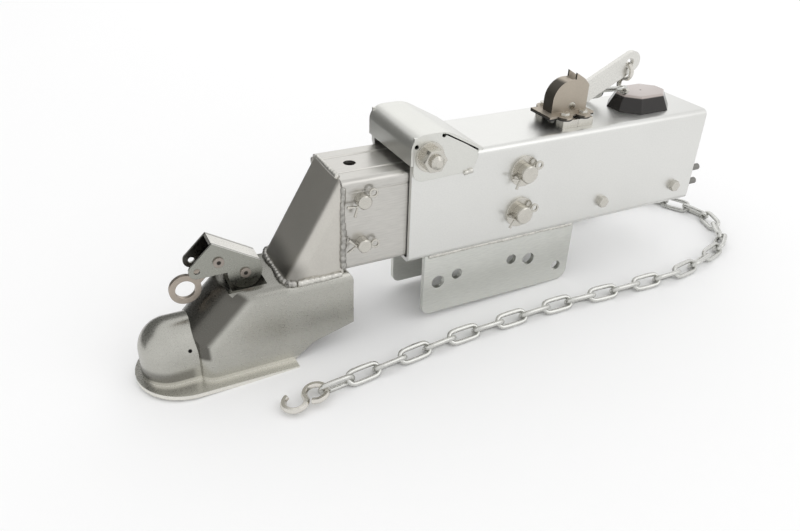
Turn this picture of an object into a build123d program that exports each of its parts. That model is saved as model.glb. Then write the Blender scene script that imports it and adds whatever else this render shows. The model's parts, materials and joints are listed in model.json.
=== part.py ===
from build123d import *
import os
from math import atan2, cos, degrees, hypot, radians, sin, sqrt

# Surge brake actuator of a trailer, in millimetres. +X runs back to the trailer, -Y is the left
# side and +Z is up. The origin is on the front tongue bolt, midway between the two plates.

# Tongue bolts: place along X, height and diameter, in both plates
TONGUE_HOLES = ((0.0, 0.0, 17.5), (26.5, 5.1, 14.3), (107.0, 6.4, 14.3), (134.0, 0.6, 17.5),
                (181.1, -20.8, 14.3))
TONGUE_GAP = 76.6
PLATE_T = 6.35
PLATE_FRONT = -20.3
PLATE_REAR = 200.0
PLATE_DROP = 84.4
PLATE_FRONT_R = 10.0
PLATE_REAR_R = 15.0

# Outer case
CASE_FRONT = -46.0
CASE_BOTTOM = 40.6
CASE_L = 437.0
CASE_W = 102.0
CASE_H = 129.4
CASE_WALL = 5.0
CASE_R = 8.0

# Slide tube inside the case, and how far it travels
TRAVEL = 36.0
SLIDE_FRONT = -125.0
SLIDE_L = 273.0
SLIDE_HEADROOM = 18.8
SLIDE_H = CASE_H - SLIDE_HEADROOM
SLIDE_WALL = 4.0
SLIDE_R = 7.0
SLIDE_LIFT = 0.4
SLIDE_SIDE_GAP = 1.7
GROOVE_Y = 21.0
GROOVE_W = 6.0
GROOVE_D = 1.4
GROOVE_ANGLE = 120.0
SIDE_GROOVE_DROP = 14.0
SIDE_GROOVE_W = 2.4
SIDE_GROOVE_D = 0.8
DRAIN_HOLE_D = 14.0
DRAIN_HOLE_X = -98.0

# Cross pins
UPPER_PIN_DROP = 36.9
UPPER_PIN_Z = CASE_BOTTOM + CASE_H - UPPER_PIN_DROP
LOWER_PIN_Z = 79.3
SLIDE_PIN_X = -103.0
SLIDE_PIN_D = 16.0
CASE_PIN_X = 104.0
CASE_PIN_D = 22.0
PIN_PROUD = 12.0
PIN_HEAD_T = 5.0
PIN_HEAD_RIM = 5.0
PIN_WASHER_D = 38.0
PIN_WASHER_T = 3.0
PIN_CHAMFER = 1.2
COTTER_WIRE = 3.0
COTTER_FLAT = 2.1
COTTER_RING_D = 11.0
COTTER_INSET = 4.0
COTTER_SPARE = 0.4
COTTER_SPREAD = 9.0
COTTER_LEG_T = 2.0
CASE_COTTER_TURNS = (-30.0, -20.0)
SLIDE_COTTER_TURNS = (-35.0, 5.0)

# Clearances
RUN_GAP = 0.06
PLAIN_GAP = 0.3
SLOT_GAP = 1.5
OVERCUT = 1.0

# Roller guard, a folded sheet over the front roller
GUARD_T = 3.0
GUARD_BOLT_X = -27.0
GUARD_BOLT_RISE = 3.5
GUARD_BOLT_D = 16.0
GUARD_TOP_RISE = 29.5
GUARD_FRONT_GAP = 0.3
GUARD_LIP = 5.0
GUARD_RIDGE_X = -6.0
GUARD_TAIL_X = 41.0
GUARD_NOSE_R = 17.0
GUARD_CREST_R = 40.0
FLAP_DROP = 25.0
FLAP_HEEL = 8.0
FLAP_HEEL_RISE = 2.0
FLAP_TAIL_DROP = 1.0
FLAP_FRONT_R = 12.0
FLAP_REAR_R = 9.0
FLAP_REAR_X = 38.0
FLAP_FOLD_REAR = -10.0
FLAP_SLIT = 1.0
RELIEF_D = 5.0
RELIEF_FRONT_X = -43.0
RELIEF_FRONT_DROP = 13.0
ROLLER_W = 84.0
ROLLER_CHAMFER = 1.5
REAR_ROLLER_W = 24.0
GUARD_NUT_AF = 24.0
GUARD_NUT_T = 13.0
GUARD_HEAD_T = 10.4
GUARD_BOLT_TIP = 4.0
GUARD_WASHER_D = 34.0
GUARD_WASHER_T = 2.5

# Neck, a folded sheet between slide and coupler
NECK_T = 5.0
NECK_R = 13.0
NECK_REACH = 68.0
NECK_SIDE = 0.3

# Ball coupler shell
BALL_D = 58.74
SOCKET_GAP = 0.5
SHELL_T = 4.4
DOME_X = -318.5
DOME_Z = -27.0
SHELL_TOP = 43.0
SHELL_REAR = -113.0
SHELL_HALF_W = 45.0
SHELL_CORNER_R = 20.0
SHELL_EDGE_R = 11.0
BODY_FRONT = -296.0
SHOULDER_X = -293.0
SHOULDER_Z = 9.0
FLANGE_Z = -63.4
FLANGE_T = 5.0
FLANGE_HALF_W = 59.0
FLANGE_X = -301.0
FLANGE_REAR = -187.0
SKIRT_X = -165.0
SKIRT_Z = -41.0
SKIRT_REAR_Z = -26.0
TROUGH_R = 23.0
TROUGH_W = 57.0

# Coupler latch
LATCH_W = 30.0
LATCH_T = 3.0
LATCH_PIVOT = (-229.0, 55.0)
TRIGGER_PIVOT = (-257.0, 74.4)
LATCH_NOSE = (-280.5, 68.0)
LATCH_NOSE_R = 9.0
LATCH_NOSE_HOLE_D = 7.0
LATCH_NOSE_TURN = 143.0
LATCH_TOP_FRONT = (-262.0, 97.5)
LATCH_TOP_REAR = (-211.0, 66.0)
LATCH_KNEE = (-251.0, 59.0)
LATCH_CAM_R = 19.0
RIVET_D = 8.0
RIVET_HEAD_D = 12.0
RIVET_HEAD_T = 2.0
RING_CENTRE = (-293.0, 41.0)
RING_D = 35.0
RING_HOLE_D = 22.0
TRIGGER_T = 5.0
STEM_W = 10.0
STEM_T = 8.0
EYE_R = 8.0
CLAMP_PIVOT = (-205.0, -30.0)
CLAMP_T = 9.0
CLAMP_W = 44.0
CLAMP_PIN_D = 10.0
CLAMP_DROP = 5.0
STEM_NUT_AF = 17.0
STEM_NUT_T = 8.0

# Push bar, push rod and master cylinder
BAR_T = 9.0
BAR_TOP = 151.0
BAR_BOTTOM = 113.0
BAR_EYE_R = 16.0
BAR_REAR = 219.0
BAR_ARM_BOTTOM = 127.0
BAR_LEG_FRONT = 138.0
BAR_LEG_REAR = 166.0
TRIP_PIN_X = 213.0
TRIP_PIN_Z = 143.0
TRIP_PIN_D = 10.0
BORE_Z = 98.0
BORE_D = 28.6
CYLINDER_D = 44.0
CYLINDER_FRONT = 222.0
CYLINDER_REAR = 380.0
BORE_END = 370.0
PUSH_ROD_D = 12.0
PUSH_BOSS_D = 22.0
JAM_NUT_AF = 19.0
JAM_NUT_T = 8.0
PISTON_FRONT = 232.0
PISTON_L = 30.0
ROD_SEAT = 8.0
FOOT_BOLTS_X = (234.6, 359.0)
FOOT_Z = 68.0
FOOT_D = 26.0
FOOT_WEB_T = 16.0
FOOT_BOLT_D = 8.0
FOOT_HEAD_AF = 13.0
FOOT_HEAD_T = 6.5
FOOT_BOLT_TIP = 3.0
TANK_FRONT = 268.0
TANK_REAR = 366.0
TANK_W = 64.0
TANK_GAP = 2.0
TANK_WALL = 5.0
TANK_R = 8.0
FILLER_X = 316.0
FILLER_D = 40.0
FILLER_RISE = 13.0
FILLER_HOLE_GAP = 2.0
OUTLET_Y = -30.0
OUTLET_Z = (54.6, 75.8)
OUTLET_END = 425.0
OUTLET_D = 9.0
OUTLET_HEX_AF = 14.0
OUTLET_HEX_T = 12.0
OUTLET_BLOCK_RIGHT = 10.0

# Damper
DAMPER_D = 36.0
DAMPER_WALL = 3.0
DAMPER_FRONT = -36.0
DAMPER_CAP_T = 12.0
DAMPER_ROD_D = 12.0
DAMPER_PISTON_T = 12.0
DAMPER_EYE_W = 30.0
ROD_EYE_W = 24.0
ROD_EYE_R = 14.0

# Filler cap
CAP_L = 84.0
CAP_W = 64.0
CAP_H = 20.0
CAP_DRAFT = 9.0
CAP_WALL = 3.0
CAP_CORNER = 20.0
CAP_ROUND = 2.5
VENT_D = 2.4

# Emergency lever and its drawn bracket
LEVER_Y = -8.0
LEVER_PIVOT_X = 191.0
LEVER_PIVOT_RISE = 20.0
LEVER_PIN_D = 10.0
LEVER_T = 6.0
LEVER_ARM = 100.0
LEVER_W = 26.0
LEVER_ANGLE = 26.0
LEVER_HOLE_D = 12.0
LEVER_HOLE_BACK = 3.5
TAIL_ANGLE = 240.0
TAIL_L = 45.0
TAIL_R = 7.0
TAIL_SWING = 40.0
COVER_W = 18.0
COVER_T = 2.5
COVER_R = 24.6
COVER_FRONT = 161.0
COVER_REAR = 213.0
COVER_PEAK = 31.0
COVER_PEAK_RISE = 8.0
COVER_SLANT = 8.0
COVER_ARC_RISE = 28.0
NOTCH_BACK = 4.0
BRACKET_FRONT = 151.0
BRACKET_REAR = 217.0
BRACKET_W = 60.0
BRACKET_SCREW_X = (172.0, 199.0)
BRACKET_SCREW_Y = 21.0
BRACKET_SCREW_D = 6.0
BRACKET_SCREW_L = 13.0
BRACKET_LOBE_R = 9.5
BRACKET_HEAD_AF = 10.0
BRACKET_HEAD_T = 4.5
GASKET_T = 1.5
WELD_NUT_L = 22.5
WELD_NUT_W = 14.0
WELD_NUT_T = 10.0
WELD_NUT_SHIFT = 5.0

# Breakaway chain
WIRE_D = 5.0
LINK_PITCH = 35.0
LINK_W = 20.0
LINK_SLACK = 0.6
BEND_SLACK = 4.2
LINK_LEAN = 45.0
LEAN_FROM = 3
LEAN_LINKS = 4
DROP_LINKS = 8
HOOK_LEAN = 20.0
HOOK_RISE = 1.8
LINK_END_STEPS = 5
FLOOR_REAR_Z = -43.8
FLOOR_SLOPE = 0.0412
HOOK_WIRE_D = 6.0
LEVER_HOOK_R = 9.0
CHAIN_HOOK_R = 12.5
HOOK_SWEEP = 250.0
EYE_SWEEP = 312.0

# Chain route by hand: down from the lever over the right side of the case, then round the back
# and forward along the floor at the left. Floor points give X and Y only.
DROP_ROUTE = ((274.5, 6.0, 192.5), (270.5, 20.0, 189.0), (266.0, 36.0, 185.5), (262.5, 50.0, 181.0),
              (259.5, 62.0, 171.0), (258.0, 71.0, 156.5), (257.5, 74.5, 137.0), (257.0, 71.5, 108.0),
              (257.0, 66.0, 75.0), (258.5, 64.5, 42.0), (266.0, 66.0, 9.0), (285.0, 71.0, -15.0))
FLOOR_ROUTE = ((318.0, 78.0), (352.0, 84.0), (400.0, 85.0), (444.0, 72.0), (472.0, 46.0), (485.0, 17.0),
               (490.0, -9.0), (484.0, -34.0), (471.0, -57.0), (457.0, -77.0), (438.0, -91.0), (412.0, -99.0),
               (376.0, -109.0), (335.0, -115.0), (280.0, -113.0), (214.0, -108.0), (151.0, -102.0),
               (81.0, -101.0), (9.0, -100.5), (-61.0, -105.0), (-128.0, -111.5), (-200.0, -118.5))

# Sizes that follow from those above
case_top = CASE_BOTTOM + CASE_H
case_rear = CASE_FRONT + CASE_L
case_mid_z = CASE_BOTTOM + CASE_H / 2
case_inner_half = CASE_W / 2 - CASE_WALL
case_roof = case_top - CASE_WALL
plate_bottom = CASE_BOTTOM - PLATE_DROP
slide_half = case_inner_half - SLIDE_SIDE_GAP
slide_bottom = CASE_BOTTOM + CASE_WALL + SLIDE_LIFT
slide_top = slide_bottom + SLIDE_H
slide_rear = SLIDE_FRONT + SLIDE_L
guard_bolt_z = case_top + GUARD_BOLT_RISE
flap_inner = CASE_W / 2
flap_outer = flap_inner + GUARD_T
front_roller_r = guard_bolt_z - slide_top - PLAIN_GAP
rear_roller_r = slide_top - SLIDE_WALL - UPPER_PIN_Z - PLAIN_GAP
lever_pivot_z = case_top + LEVER_PIVOT_RISE
dome_r = BALL_D / 2 + SOCKET_GAP + SHELL_T
bracket_z = case_top + WELD_NUT_T + GASKET_T


def side(y=0.0):
    """Plane across Y: sketch x is +X, sketch y is +Z, and it faces the left side."""
    return Plane(origin=(0, y, 0), x_dir=(1, 0, 0), z_dir=(0, -1, 0))


def keep(part, name):
    """Label a finished piece and write it out."""
    part.label = name
    export_step(part, f"parts/{name}.step")


def cross_rod(x, z, diameter, y_from, y_to, mode=Mode.ADD):
    """A round rod or hole along Y in the part being built."""
    with Locations((x, (y_from + y_to) / 2, z)):
        Cylinder(diameter / 2, abs(y_to - y_from), rotation=(90, 0, 0), mode=mode)


def long_rod(x_from, x_to, y, z, diameter, mode=Mode.ADD):
    """A round rod or hole along X in the part being built."""
    with Locations(((x_from + x_to) / 2, y, z)):
        Cylinder(diameter / 2, abs(x_to - x_from), rotation=(0, 90, 0), mode=mode)


def block(x_from, x_to, y_from, y_to, z_from, z_to, mode=Mode.ADD):
    """A plain box given by its corners in the part being built."""
    with Locations(((x_from + x_to) / 2, (y_from + y_to) / 2, (z_from + z_to) / 2)):
        Box(x_to - x_from, y_to - y_from, z_to - z_from, mode=mode)


os.makedirs("parts", exist_ok=True)

# Outer case: a square tube, open at both ends
with BuildPart() as outer_case:
    with BuildSketch(Plane.YZ.offset(CASE_FRONT)):
        with Locations((0, case_mid_z)):
            RectangleRounded(CASE_W, CASE_H, CASE_R)
            RectangleRounded(CASE_W - 2 * CASE_WALL, CASE_H - 2 * CASE_WALL, CASE_R - CASE_WALL,
                             mode=Mode.SUBTRACT)
    extrude(amount=CASE_L)
    roller_room = GUARD_BOLT_X + front_roller_r + 2 * SLOT_GAP
    block(CASE_FRONT, roller_room, -CASE_W, CASE_W, case_roof - OVERCUT, case_top + OVERCUT, mode=Mode.SUBTRACT)
    for pin_z in (UPPER_PIN_Z, LOWER_PIN_Z):
        cross_rod(CASE_PIN_X, pin_z, CASE_PIN_D + 2 * RUN_GAP, -CASE_W, CASE_W, mode=Mode.SUBTRACT)
    for bolt_x in FOOT_BOLTS_X:
        cross_rod(bolt_x, FOOT_Z, FOOT_BOLT_D + 2 * RUN_GAP, -CASE_W, CASE_W, mode=Mode.SUBTRACT)
    with Locations((FILLER_X, 0, case_top)):
        Cylinder(FILLER_D / 2 + FILLER_HOLE_GAP, 3 * CASE_WALL, mode=Mode.SUBTRACT)
    tail_reach = LEVER_PIVOT_RISE / sin(radians(TAIL_ANGLE - 180)) + CASE_WALL
    tail_front = LEVER_PIVOT_X + tail_reach * cos(radians(TAIL_ANGLE)) - TAIL_R - 2 * SLOT_GAP
    tail_rear = LEVER_PIVOT_X + tail_reach * cos(radians(TAIL_ANGLE + TAIL_SWING)) + TAIL_R + 2 * SLOT_GAP
    slot_half = LEVER_T / 2 + SLOT_GAP
    block(tail_front, tail_rear, LEVER_Y - slot_half, LEVER_Y + slot_half,
          case_roof - OVERCUT, case_top + OVERCUT, mode=Mode.SUBTRACT)
keep(outer_case.part, "outer_case")


def tongue_plate(y_inner, y_outer):
    """One tongue plate with its bolt holes, between two Y faces."""
    with BuildPart() as plate:
        with BuildSketch(side(y_inner)):
            with BuildLine():
                Polyline((PLATE_FRONT, CASE_BOTTOM), (PLATE_FRONT, plate_bottom), (PLATE_REAR, plate_bottom),
                         (PLATE_REAR, CASE_BOTTOM), close=True)
            make_face()
            low = vertices().group_by(Axis.Y)[0].sort_by(Axis.X)
            fillet(low[0], PLATE_FRONT_R)
            fillet(vertices().group_by(Axis.Y)[0].sort_by(Axis.X)[-1], PLATE_REAR_R)
            for hole_x, hole_z, hole_d in TONGUE_HOLES:
                with Locations((hole_x, hole_z)):
                    Circle(hole_d / 2, mode=Mode.SUBTRACT)
        extrude(amount=y_inner - y_outer)
    return plate.part


plate_in = TONGUE_GAP / 2
plate_out = plate_in + PLATE_T
keep(tongue_plate(-plate_in, -plate_out), "tongue_plate_left")
keep(tongue_plate(plate_in, plate_out), "tongue_plate_right")

# Roller guard: one folded sheet with a flap lapped on each side of the case
guard_front = CASE_FRONT - GUARD_FRONT_GAP
guard_top = case_top + GUARD_TOP_RISE
with BuildPart() as roller_guard:
    with BuildSketch(side()):
        with BuildLine():
            skin = FilletPolyline((guard_front, case_top - GUARD_LIP), (guard_front, guard_top - GUARD_T),
                                  (GUARD_RIDGE_X, guard_top - GUARD_T), (GUARD_TAIL_X, case_top),
                                  radius=(GUARD_NOSE_R - GUARD_T, GUARD_CREST_R - GUARD_T))
            offset(skin, amount=GUARD_T, side=Side.LEFT)
        make_face()
    extrude(amount=flap_outer, both=True)
    with BuildSketch(side(flap_outer)) as flap:
        with BuildLine():
            Polyline((CASE_FRONT, case_top - FLAP_DROP),
                     (FLAP_REAR_X - FLAP_HEEL, case_top - FLAP_DROP + FLAP_HEEL_RISE),
                     (FLAP_REAR_X, case_top - FLAP_TAIL_DROP), (GUARD_RIDGE_X, guard_top - GUARD_T),
                     (CASE_FRONT, guard_top - GUARD_T), close=True)
        make_face()
        fillet(flap.vertices().sort_by(Axis.Y)[0], FLAP_FRONT_R)
        fillet(flap.vertices().sort_by(Axis.X)[-1], FLAP_REAR_R)
    extrude(amount=GUARD_T)
    extrude(flap.sketch.moved(Location((0, -2 * flap_outer + GUARD_T, 0))), amount=GUARD_T)
    # The flap stands clear of the sheet except at the fold between the two relief holes
    for flap_y in (-flap_outer, flap_inner):
        with BuildSketch(side(flap_y + GUARD_T)):
            with BuildLine():
                Polyline((FLAP_FOLD_REAR, guard_top - GUARD_T - 2 * FLAP_SLIT),
                         (GUARD_RIDGE_X, guard_top - GUARD_T - 2 * FLAP_SLIT),
                         (GUARD_TAIL_X, case_top - FLAP_SLIT), (GUARD_TAIL_X, case_top),
                         (GUARD_RIDGE_X, guard_top - GUARD_T),
                         (FLAP_FOLD_REAR, guard_top - GUARD_T), close=True)
            make_face()
        extrude(amount=GUARD_T, mode=Mode.SUBTRACT)
    for relief in ((FLAP_FOLD_REAR, guard_top - GUARD_T - FLAP_SLIT),
                   (RELIEF_FRONT_X, guard_top - RELIEF_FRONT_DROP)):
        cross_rod(*relief, RELIEF_D, flap_inner, flap_outer + OVERCUT, mode=Mode.SUBTRACT)
        cross_rod(*relief, RELIEF_D, -flap_inner, -flap_outer - OVERCUT, mode=Mode.SUBTRACT)
    cross_rod(GUARD_BOLT_X, guard_bolt_z, GUARD_BOLT_D + 2 * RUN_GAP, -CASE_W, CASE_W, mode=Mode.SUBTRACT)
keep(roller_guard.part, "roller_guard")

# Guard bolt with its washers and nut
washer_out = flap_outer + GUARD_WASHER_T
bolt_end = -washer_out - GUARD_NUT_T - GUARD_BOLT_TIP
with BuildPart() as guard_bolt:
    cross_rod(GUARD_BOLT_X, guard_bolt_z, GUARD_BOLT_D, washer_out, bolt_end)
    with Locations((GUARD_BOLT_X, bolt_end, guard_bolt_z)):
        Cone(GUARD_BOLT_D / 2, GUARD_BOLT_D / 4, GUARD_BOLT_TIP, rotation=(90, 0, 0),
             align=(Align.CENTER, Align.CENTER, Align.MIN))
    with BuildSketch(side(washer_out)):
        with Locations((GUARD_BOLT_X, guard_bolt_z)):
            RegularPolygon(GUARD_NUT_AF / 2, 6, major_radius=False)
    extrude(amount=-GUARD_HEAD_T)
keep(guard_bolt.part, "guard_bolt")

with BuildPart() as guard_nut:
    with BuildSketch(side(-washer_out)):
        with Locations((GUARD_BOLT_X, guard_bolt_z)):
            RegularPolygon(GUARD_NUT_AF / 2, 6, major_radius=False)
            Circle(GUARD_BOLT_D / 2 + RUN_GAP, mode=Mode.SUBTRACT)
    extrude(amount=GUARD_NUT_T)
keep(guard_nut.part, "guard_nut")

with BuildPart() as guard_washers:
    for washer_y in (-flap_outer, washer_out):
        with BuildSketch(side(washer_y)):
            with Locations((GUARD_BOLT_X, guard_bolt_z)):
                Circle(GUARD_WASHER_D / 2)
                Circle(GUARD_BOLT_D / 2 + RUN_GAP, mode=Mode.SUBTRACT)
        extrude(amount=GUARD_WASHER_T)
keep(guard_washers.part, "guard_washers")

# Rollers: one on the guard bolt over the slide, two on the upper case pin under the slide's roof
with BuildPart() as front_roller:
    cross_rod(GUARD_BOLT_X, guard_bolt_z, 2 * front_roller_r, -ROLLER_W / 2, ROLLER_W / 2)
    cross_rod(GUARD_BOLT_X, guard_bolt_z, GUARD_BOLT_D + 2 * RUN_GAP, -ROLLER_W, ROLLER_W, mode=Mode.SUBTRACT)
    chamfer(front_roller.edges().filter_by(GeomType.CIRCLE).group_by(SortBy.RADIUS)[-1], ROLLER_CHAMFER)
keep(front_roller.part, "front_roller")

roller_inner = BAR_T / 2 + 2 * SLOT_GAP
for roller_name, roller_sign in (("rear_roller_left", -1), ("rear_roller_right", 1)):
    with BuildPart() as rear_roller:
        roller_ends = (roller_sign * roller_inner, roller_sign * (roller_inner + REAR_ROLLER_W))
        cross_rod(CASE_PIN_X, UPPER_PIN_Z, 2 * rear_roller_r, *roller_ends)
        cross_rod(CASE_PIN_X, UPPER_PIN_Z, CASE_PIN_D + 2 * RUN_GAP, -CASE_W, CASE_W, mode=Mode.SUBTRACT)
        chamfer(rear_roller.edges().filter_by(GeomType.CIRCLE).group_by(SortBy.RADIUS)[-1], ROLLER_CHAMFER)
    keep(rear_roller.part, roller_name)


def clevis_pin(x, z, diameter, half_width, washer_t, turn):
    """A headed pin across the part: head on the right, split pin hole on the left."""
    tip = -half_width - washer_t - PIN_PROUD
    with BuildPart() as pin:
        cross_rod(x, z, diameter, tip, half_width)
        cross_rod(x, z, diameter + 2 * PIN_HEAD_RIM, half_width, half_width + PIN_HEAD_T)
        chamfer(pin.faces().sort_by(Axis.Y)[0].edges(), PIN_CHAMFER)
        with Locations((x, tip + COTTER_INSET + COTTER_WIRE / 2, z)):
            Cylinder((COTTER_WIRE + COTTER_SPARE) / 2, 2 * diameter, rotation=(0, 90 + turn, 0),
                     mode=Mode.SUBTRACT)
    return pin.part


def cotter(x, z, diameter, half_width, washer_t, turn):
    """A split pin through a clevis pin's hole: ring at one side, two spread legs at the other."""
    y = -half_width - washer_t - PIN_PROUD + COTTER_INSET + COTTER_WIRE / 2
    reach = diameter / 2 + COTTER_SPARE
    ring_x = reach + COTTER_RING_D / 2
    with BuildPart() as split_pin:
        with BuildSketch(Plane.XY):
            with Locations((ring_x, 0)):
                Circle(COTTER_RING_D / 2)
            Rectangle(2 * reach + COTTER_WIRE, COTTER_FLAT)
            with Locations((ring_x, 0)):
                Circle(COTTER_RING_D / 2 - COTTER_FLAT, mode=Mode.SUBTRACT)
            for leg in (-1, 1):
                with BuildLine():
                    Polyline((-reach, 0), (-reach - COTTER_SPREAD, leg * COTTER_SPREAD),
                             (-reach - COTTER_SPREAD - COTTER_LEG_T, leg * (COTTER_SPREAD - COTTER_LEG_T)),
                             (-reach, -leg * COTTER_FLAT / 2), close=True)
                make_face()
        extrude(amount=COTTER_FLAT / 2, both=True)
    return Location((x, y, z)) * Rotation(0, turn, 0) * Rotation(90, 0, 0) * split_pin.part


# Pins that cross the case and the slide, with their split pins and washers
case_pin = (CASE_PIN_D, CASE_W / 2, PIN_WASHER_T)
slide_pin = (SLIDE_PIN_D, slide_half, 0)
for pin_name, pin_x, pin_z, pin_fit, turn in (
        ("roller_pin", CASE_PIN_X, UPPER_PIN_Z, case_pin, CASE_COTTER_TURNS[0]),
        ("damper_pin_rear", CASE_PIN_X, LOWER_PIN_Z, case_pin, CASE_COTTER_TURNS[1]),
        ("push_bar_pin", SLIDE_PIN_X, UPPER_PIN_Z, slide_pin, SLIDE_COTTER_TURNS[0]),
        ("damper_pin_front", SLIDE_PIN_X, LOWER_PIN_Z, slide_pin, SLIDE_COTTER_TURNS[1])):
    keep(clevis_pin(pin_x, pin_z, *pin_fit, turn), pin_name)

with BuildPart() as pin_washers:
    for pin_z in (UPPER_PIN_Z, LOWER_PIN_Z):
        with BuildSketch(side(-CASE_W / 2)):
            with Locations((CASE_PIN_X, pin_z)):
                Circle(PIN_WASHER_D / 2)
                Circle(CASE_PIN_D / 2 + RUN_GAP, mode=Mode.SUBTRACT)
        extrude(amount=PIN_WASHER_T)
keep(pin_washers.part, "pin_washers")

with BuildPart() as case_cotters:
    for pin_z, turn in zip((UPPER_PIN_Z, LOWER_PIN_Z), CASE_COTTER_TURNS):
        add(cotter(CASE_PIN_X, pin_z, *case_pin, turn))
keep(case_cotters.part, "case_cotters")

with BuildPart() as slide_cotters:
    for pin_z, turn in zip((UPPER_PIN_Z, LOWER_PIN_Z), SLIDE_COTTER_TURNS):
        add(cotter(SLIDE_PIN_X, pin_z, *slide_pin, turn))
keep(slide_cotters.part, "slide_cotters")

# Slide tube: rolled grooves on its roof and sides, slots for the two case pins, and a notch that
# lets its roof pass the lever's tail
with BuildPart() as slide_tube:
    with BuildSketch(Plane.YZ.offset(SLIDE_FRONT)):
        with Locations((0, slide_bottom + SLIDE_H / 2)):
            RectangleRounded(2 * slide_half, SLIDE_H, SLIDE_R)
            RectangleRounded(2 * (slide_half - SLIDE_WALL), SLIDE_H - 2 * SLIDE_WALL, SLIDE_R - SLIDE_WALL,
                             mode=Mode.SUBTRACT)
        with Locations((-GROOVE_Y, slide_top), (GROOVE_Y, slide_top)):
            Trapezoid(GROOVE_W, 2 * GROOVE_D, GROOVE_ANGLE, mode=Mode.SUBTRACT)
        with Locations((-slide_half, slide_top - SIDE_GROOVE_DROP), (slide_half, slide_top - SIDE_GROOVE_DROP)):
            Rectangle(2 * SIDE_GROOVE_D, SIDE_GROOVE_W, mode=Mode.SUBTRACT)
    extrude(amount=SLIDE_L)
    for pin_z in (UPPER_PIN_Z, LOWER_PIN_Z):
        cross_rod(SLIDE_PIN_X, pin_z, SLIDE_PIN_D + 2 * RUN_GAP, -CASE_W, CASE_W, mode=Mode.SUBTRACT)
        with BuildSketch(side()):
            with Locations((CASE_PIN_X - TRAVEL / 2, pin_z)):
                SlotCenterToCenter(TRAVEL, CASE_PIN_D + 2 * SLOT_GAP)
        extrude(amount=CASE_W, both=True, mode=Mode.SUBTRACT)
    with Locations((DRAIN_HOLE_X, 0, slide_top)):
        Cylinder(DRAIN_HOLE_D / 2, 3 * SLIDE_WALL, mode=Mode.SUBTRACT)
    notch_front = LEVER_PIVOT_X + TAIL_L * cos(radians(TAIL_ANGLE)) - TAIL_R - 2 * SLOT_GAP - TRAVEL
    block(notch_front, slide_rear + OVERCUT, LEVER_Y - slot_half, LEVER_Y + slot_half,
          slide_top - 2 * SLIDE_WALL, slide_top + OVERCUT, mode=Mode.SUBTRACT)
keep(slide_tube.part, "slide_tube")

# Neck: a sheet folded round the front, open to the slide and to the coupler
neck_half = slide_half - NECK_SIDE
with BuildPart() as neck:
    with BuildSketch(side()):
        with BuildLine():
            Polyline((SLIDE_FRONT, slide_top), (SLIDE_FRONT, SHELL_TOP), (SLIDE_FRONT - NECK_REACH, SHELL_TOP),
                     close=True)
        make_face()
    extrude(amount=neck_half, both=True)
    slope_face = neck.faces().sort_by(Axis.X)[0]
    fillet(slope_face.edges().filter_by(Axis.Y, reverse=True), NECK_R)
    open_faces = [neck.faces().sort_by(Axis.X)[-1], neck.faces().sort_by(Axis.Z)[0]]
    offset(amount=-NECK_T, openings=open_faces)
keep(neck.part, "neck")


def dome_cap(radius):
    """Front upper quarter of a ball, turned so that its poles lie outside the quarter."""
    with BuildPart() as cap:
        with Locations((DOME_X, 0, DOME_Z)):
            Sphere(radius, rotation=(0, 45, 0))
            Box(radius, 2 * radius, radius, align=(Align.MAX, Align.CENTER, Align.MIN), mode=Mode.INTERSECT)
    return cap.part


def shell_form(inset, floor):
    """Outside of the coupler shell, or the room inside it when inset by the sheet."""
    radius = dome_r - inset
    half = SHELL_HALF_W - inset
    top = SHELL_TOP - inset
    front = SHOULDER_X + half + inset * sqrt(2)
    with BuildPart() as form:
        with BuildSketch(Plane.XY.offset(floor)):
            with BuildLine():
                Polyline((BODY_FRONT + inset, -half), (SHELL_REAR, -half), (SHELL_REAR, half),
                         (BODY_FRONT + inset, half), close=True)
            make_face()
            fillet(vertices().group_by(Axis.X)[0], SHELL_CORNER_R - inset)
        extrude(amount=top - floor)
        # The shoulder leans back as a half-round slope
        for plan_z in (floor, top):
            with BuildSketch(Plane.XY.offset(plan_z)):
                with Locations((front + plan_z - SHOULDER_Z, 0)):
                    Circle(half)
                    with Locations((CASE_L, 0)):
                        Rectangle(2 * CASE_L, 2 * half)
        loft(ruled=True, mode=Mode.INTERSECT)
        roof = form.faces().sort_by(Axis.Z)[-1]
        fillet(roof.edges(), SHELL_EDGE_R - inset)
        # Dome over the ball, the upright front below it and the arch that runs back from both
        add(dome_cap(radius))
        with BuildSketch(Plane.XY.offset(floor)):
            with BuildLine():
                CenterArc((DOME_X, 0), radius, 90, 180)
                Line((DOME_X, -radius), (DOME_X, radius))
            make_face()
        extrude(amount=DOME_Z - floor)
        with BuildSketch(Plane(origin=(DOME_X, 0, 0), x_dir=(0, 1, 0), z_dir=(1, 0, 0))):
            with BuildLine():
                CenterArc((0, DOME_Z), radius, 0, 180)
                Polyline((-radius, DOME_Z), (-radius, floor), (radius, floor), (radius, DOME_Z))
            make_face()
        extrude(amount=BODY_FRONT + 2 * SHELL_CORNER_R - DOME_X)
        # Nothing below the floor
        block(-2 * CASE_L, 2 * CASE_L, -CASE_W, CASE_W, floor - CASE_H, floor, mode=Mode.SUBTRACT)
    return form.part


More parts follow.
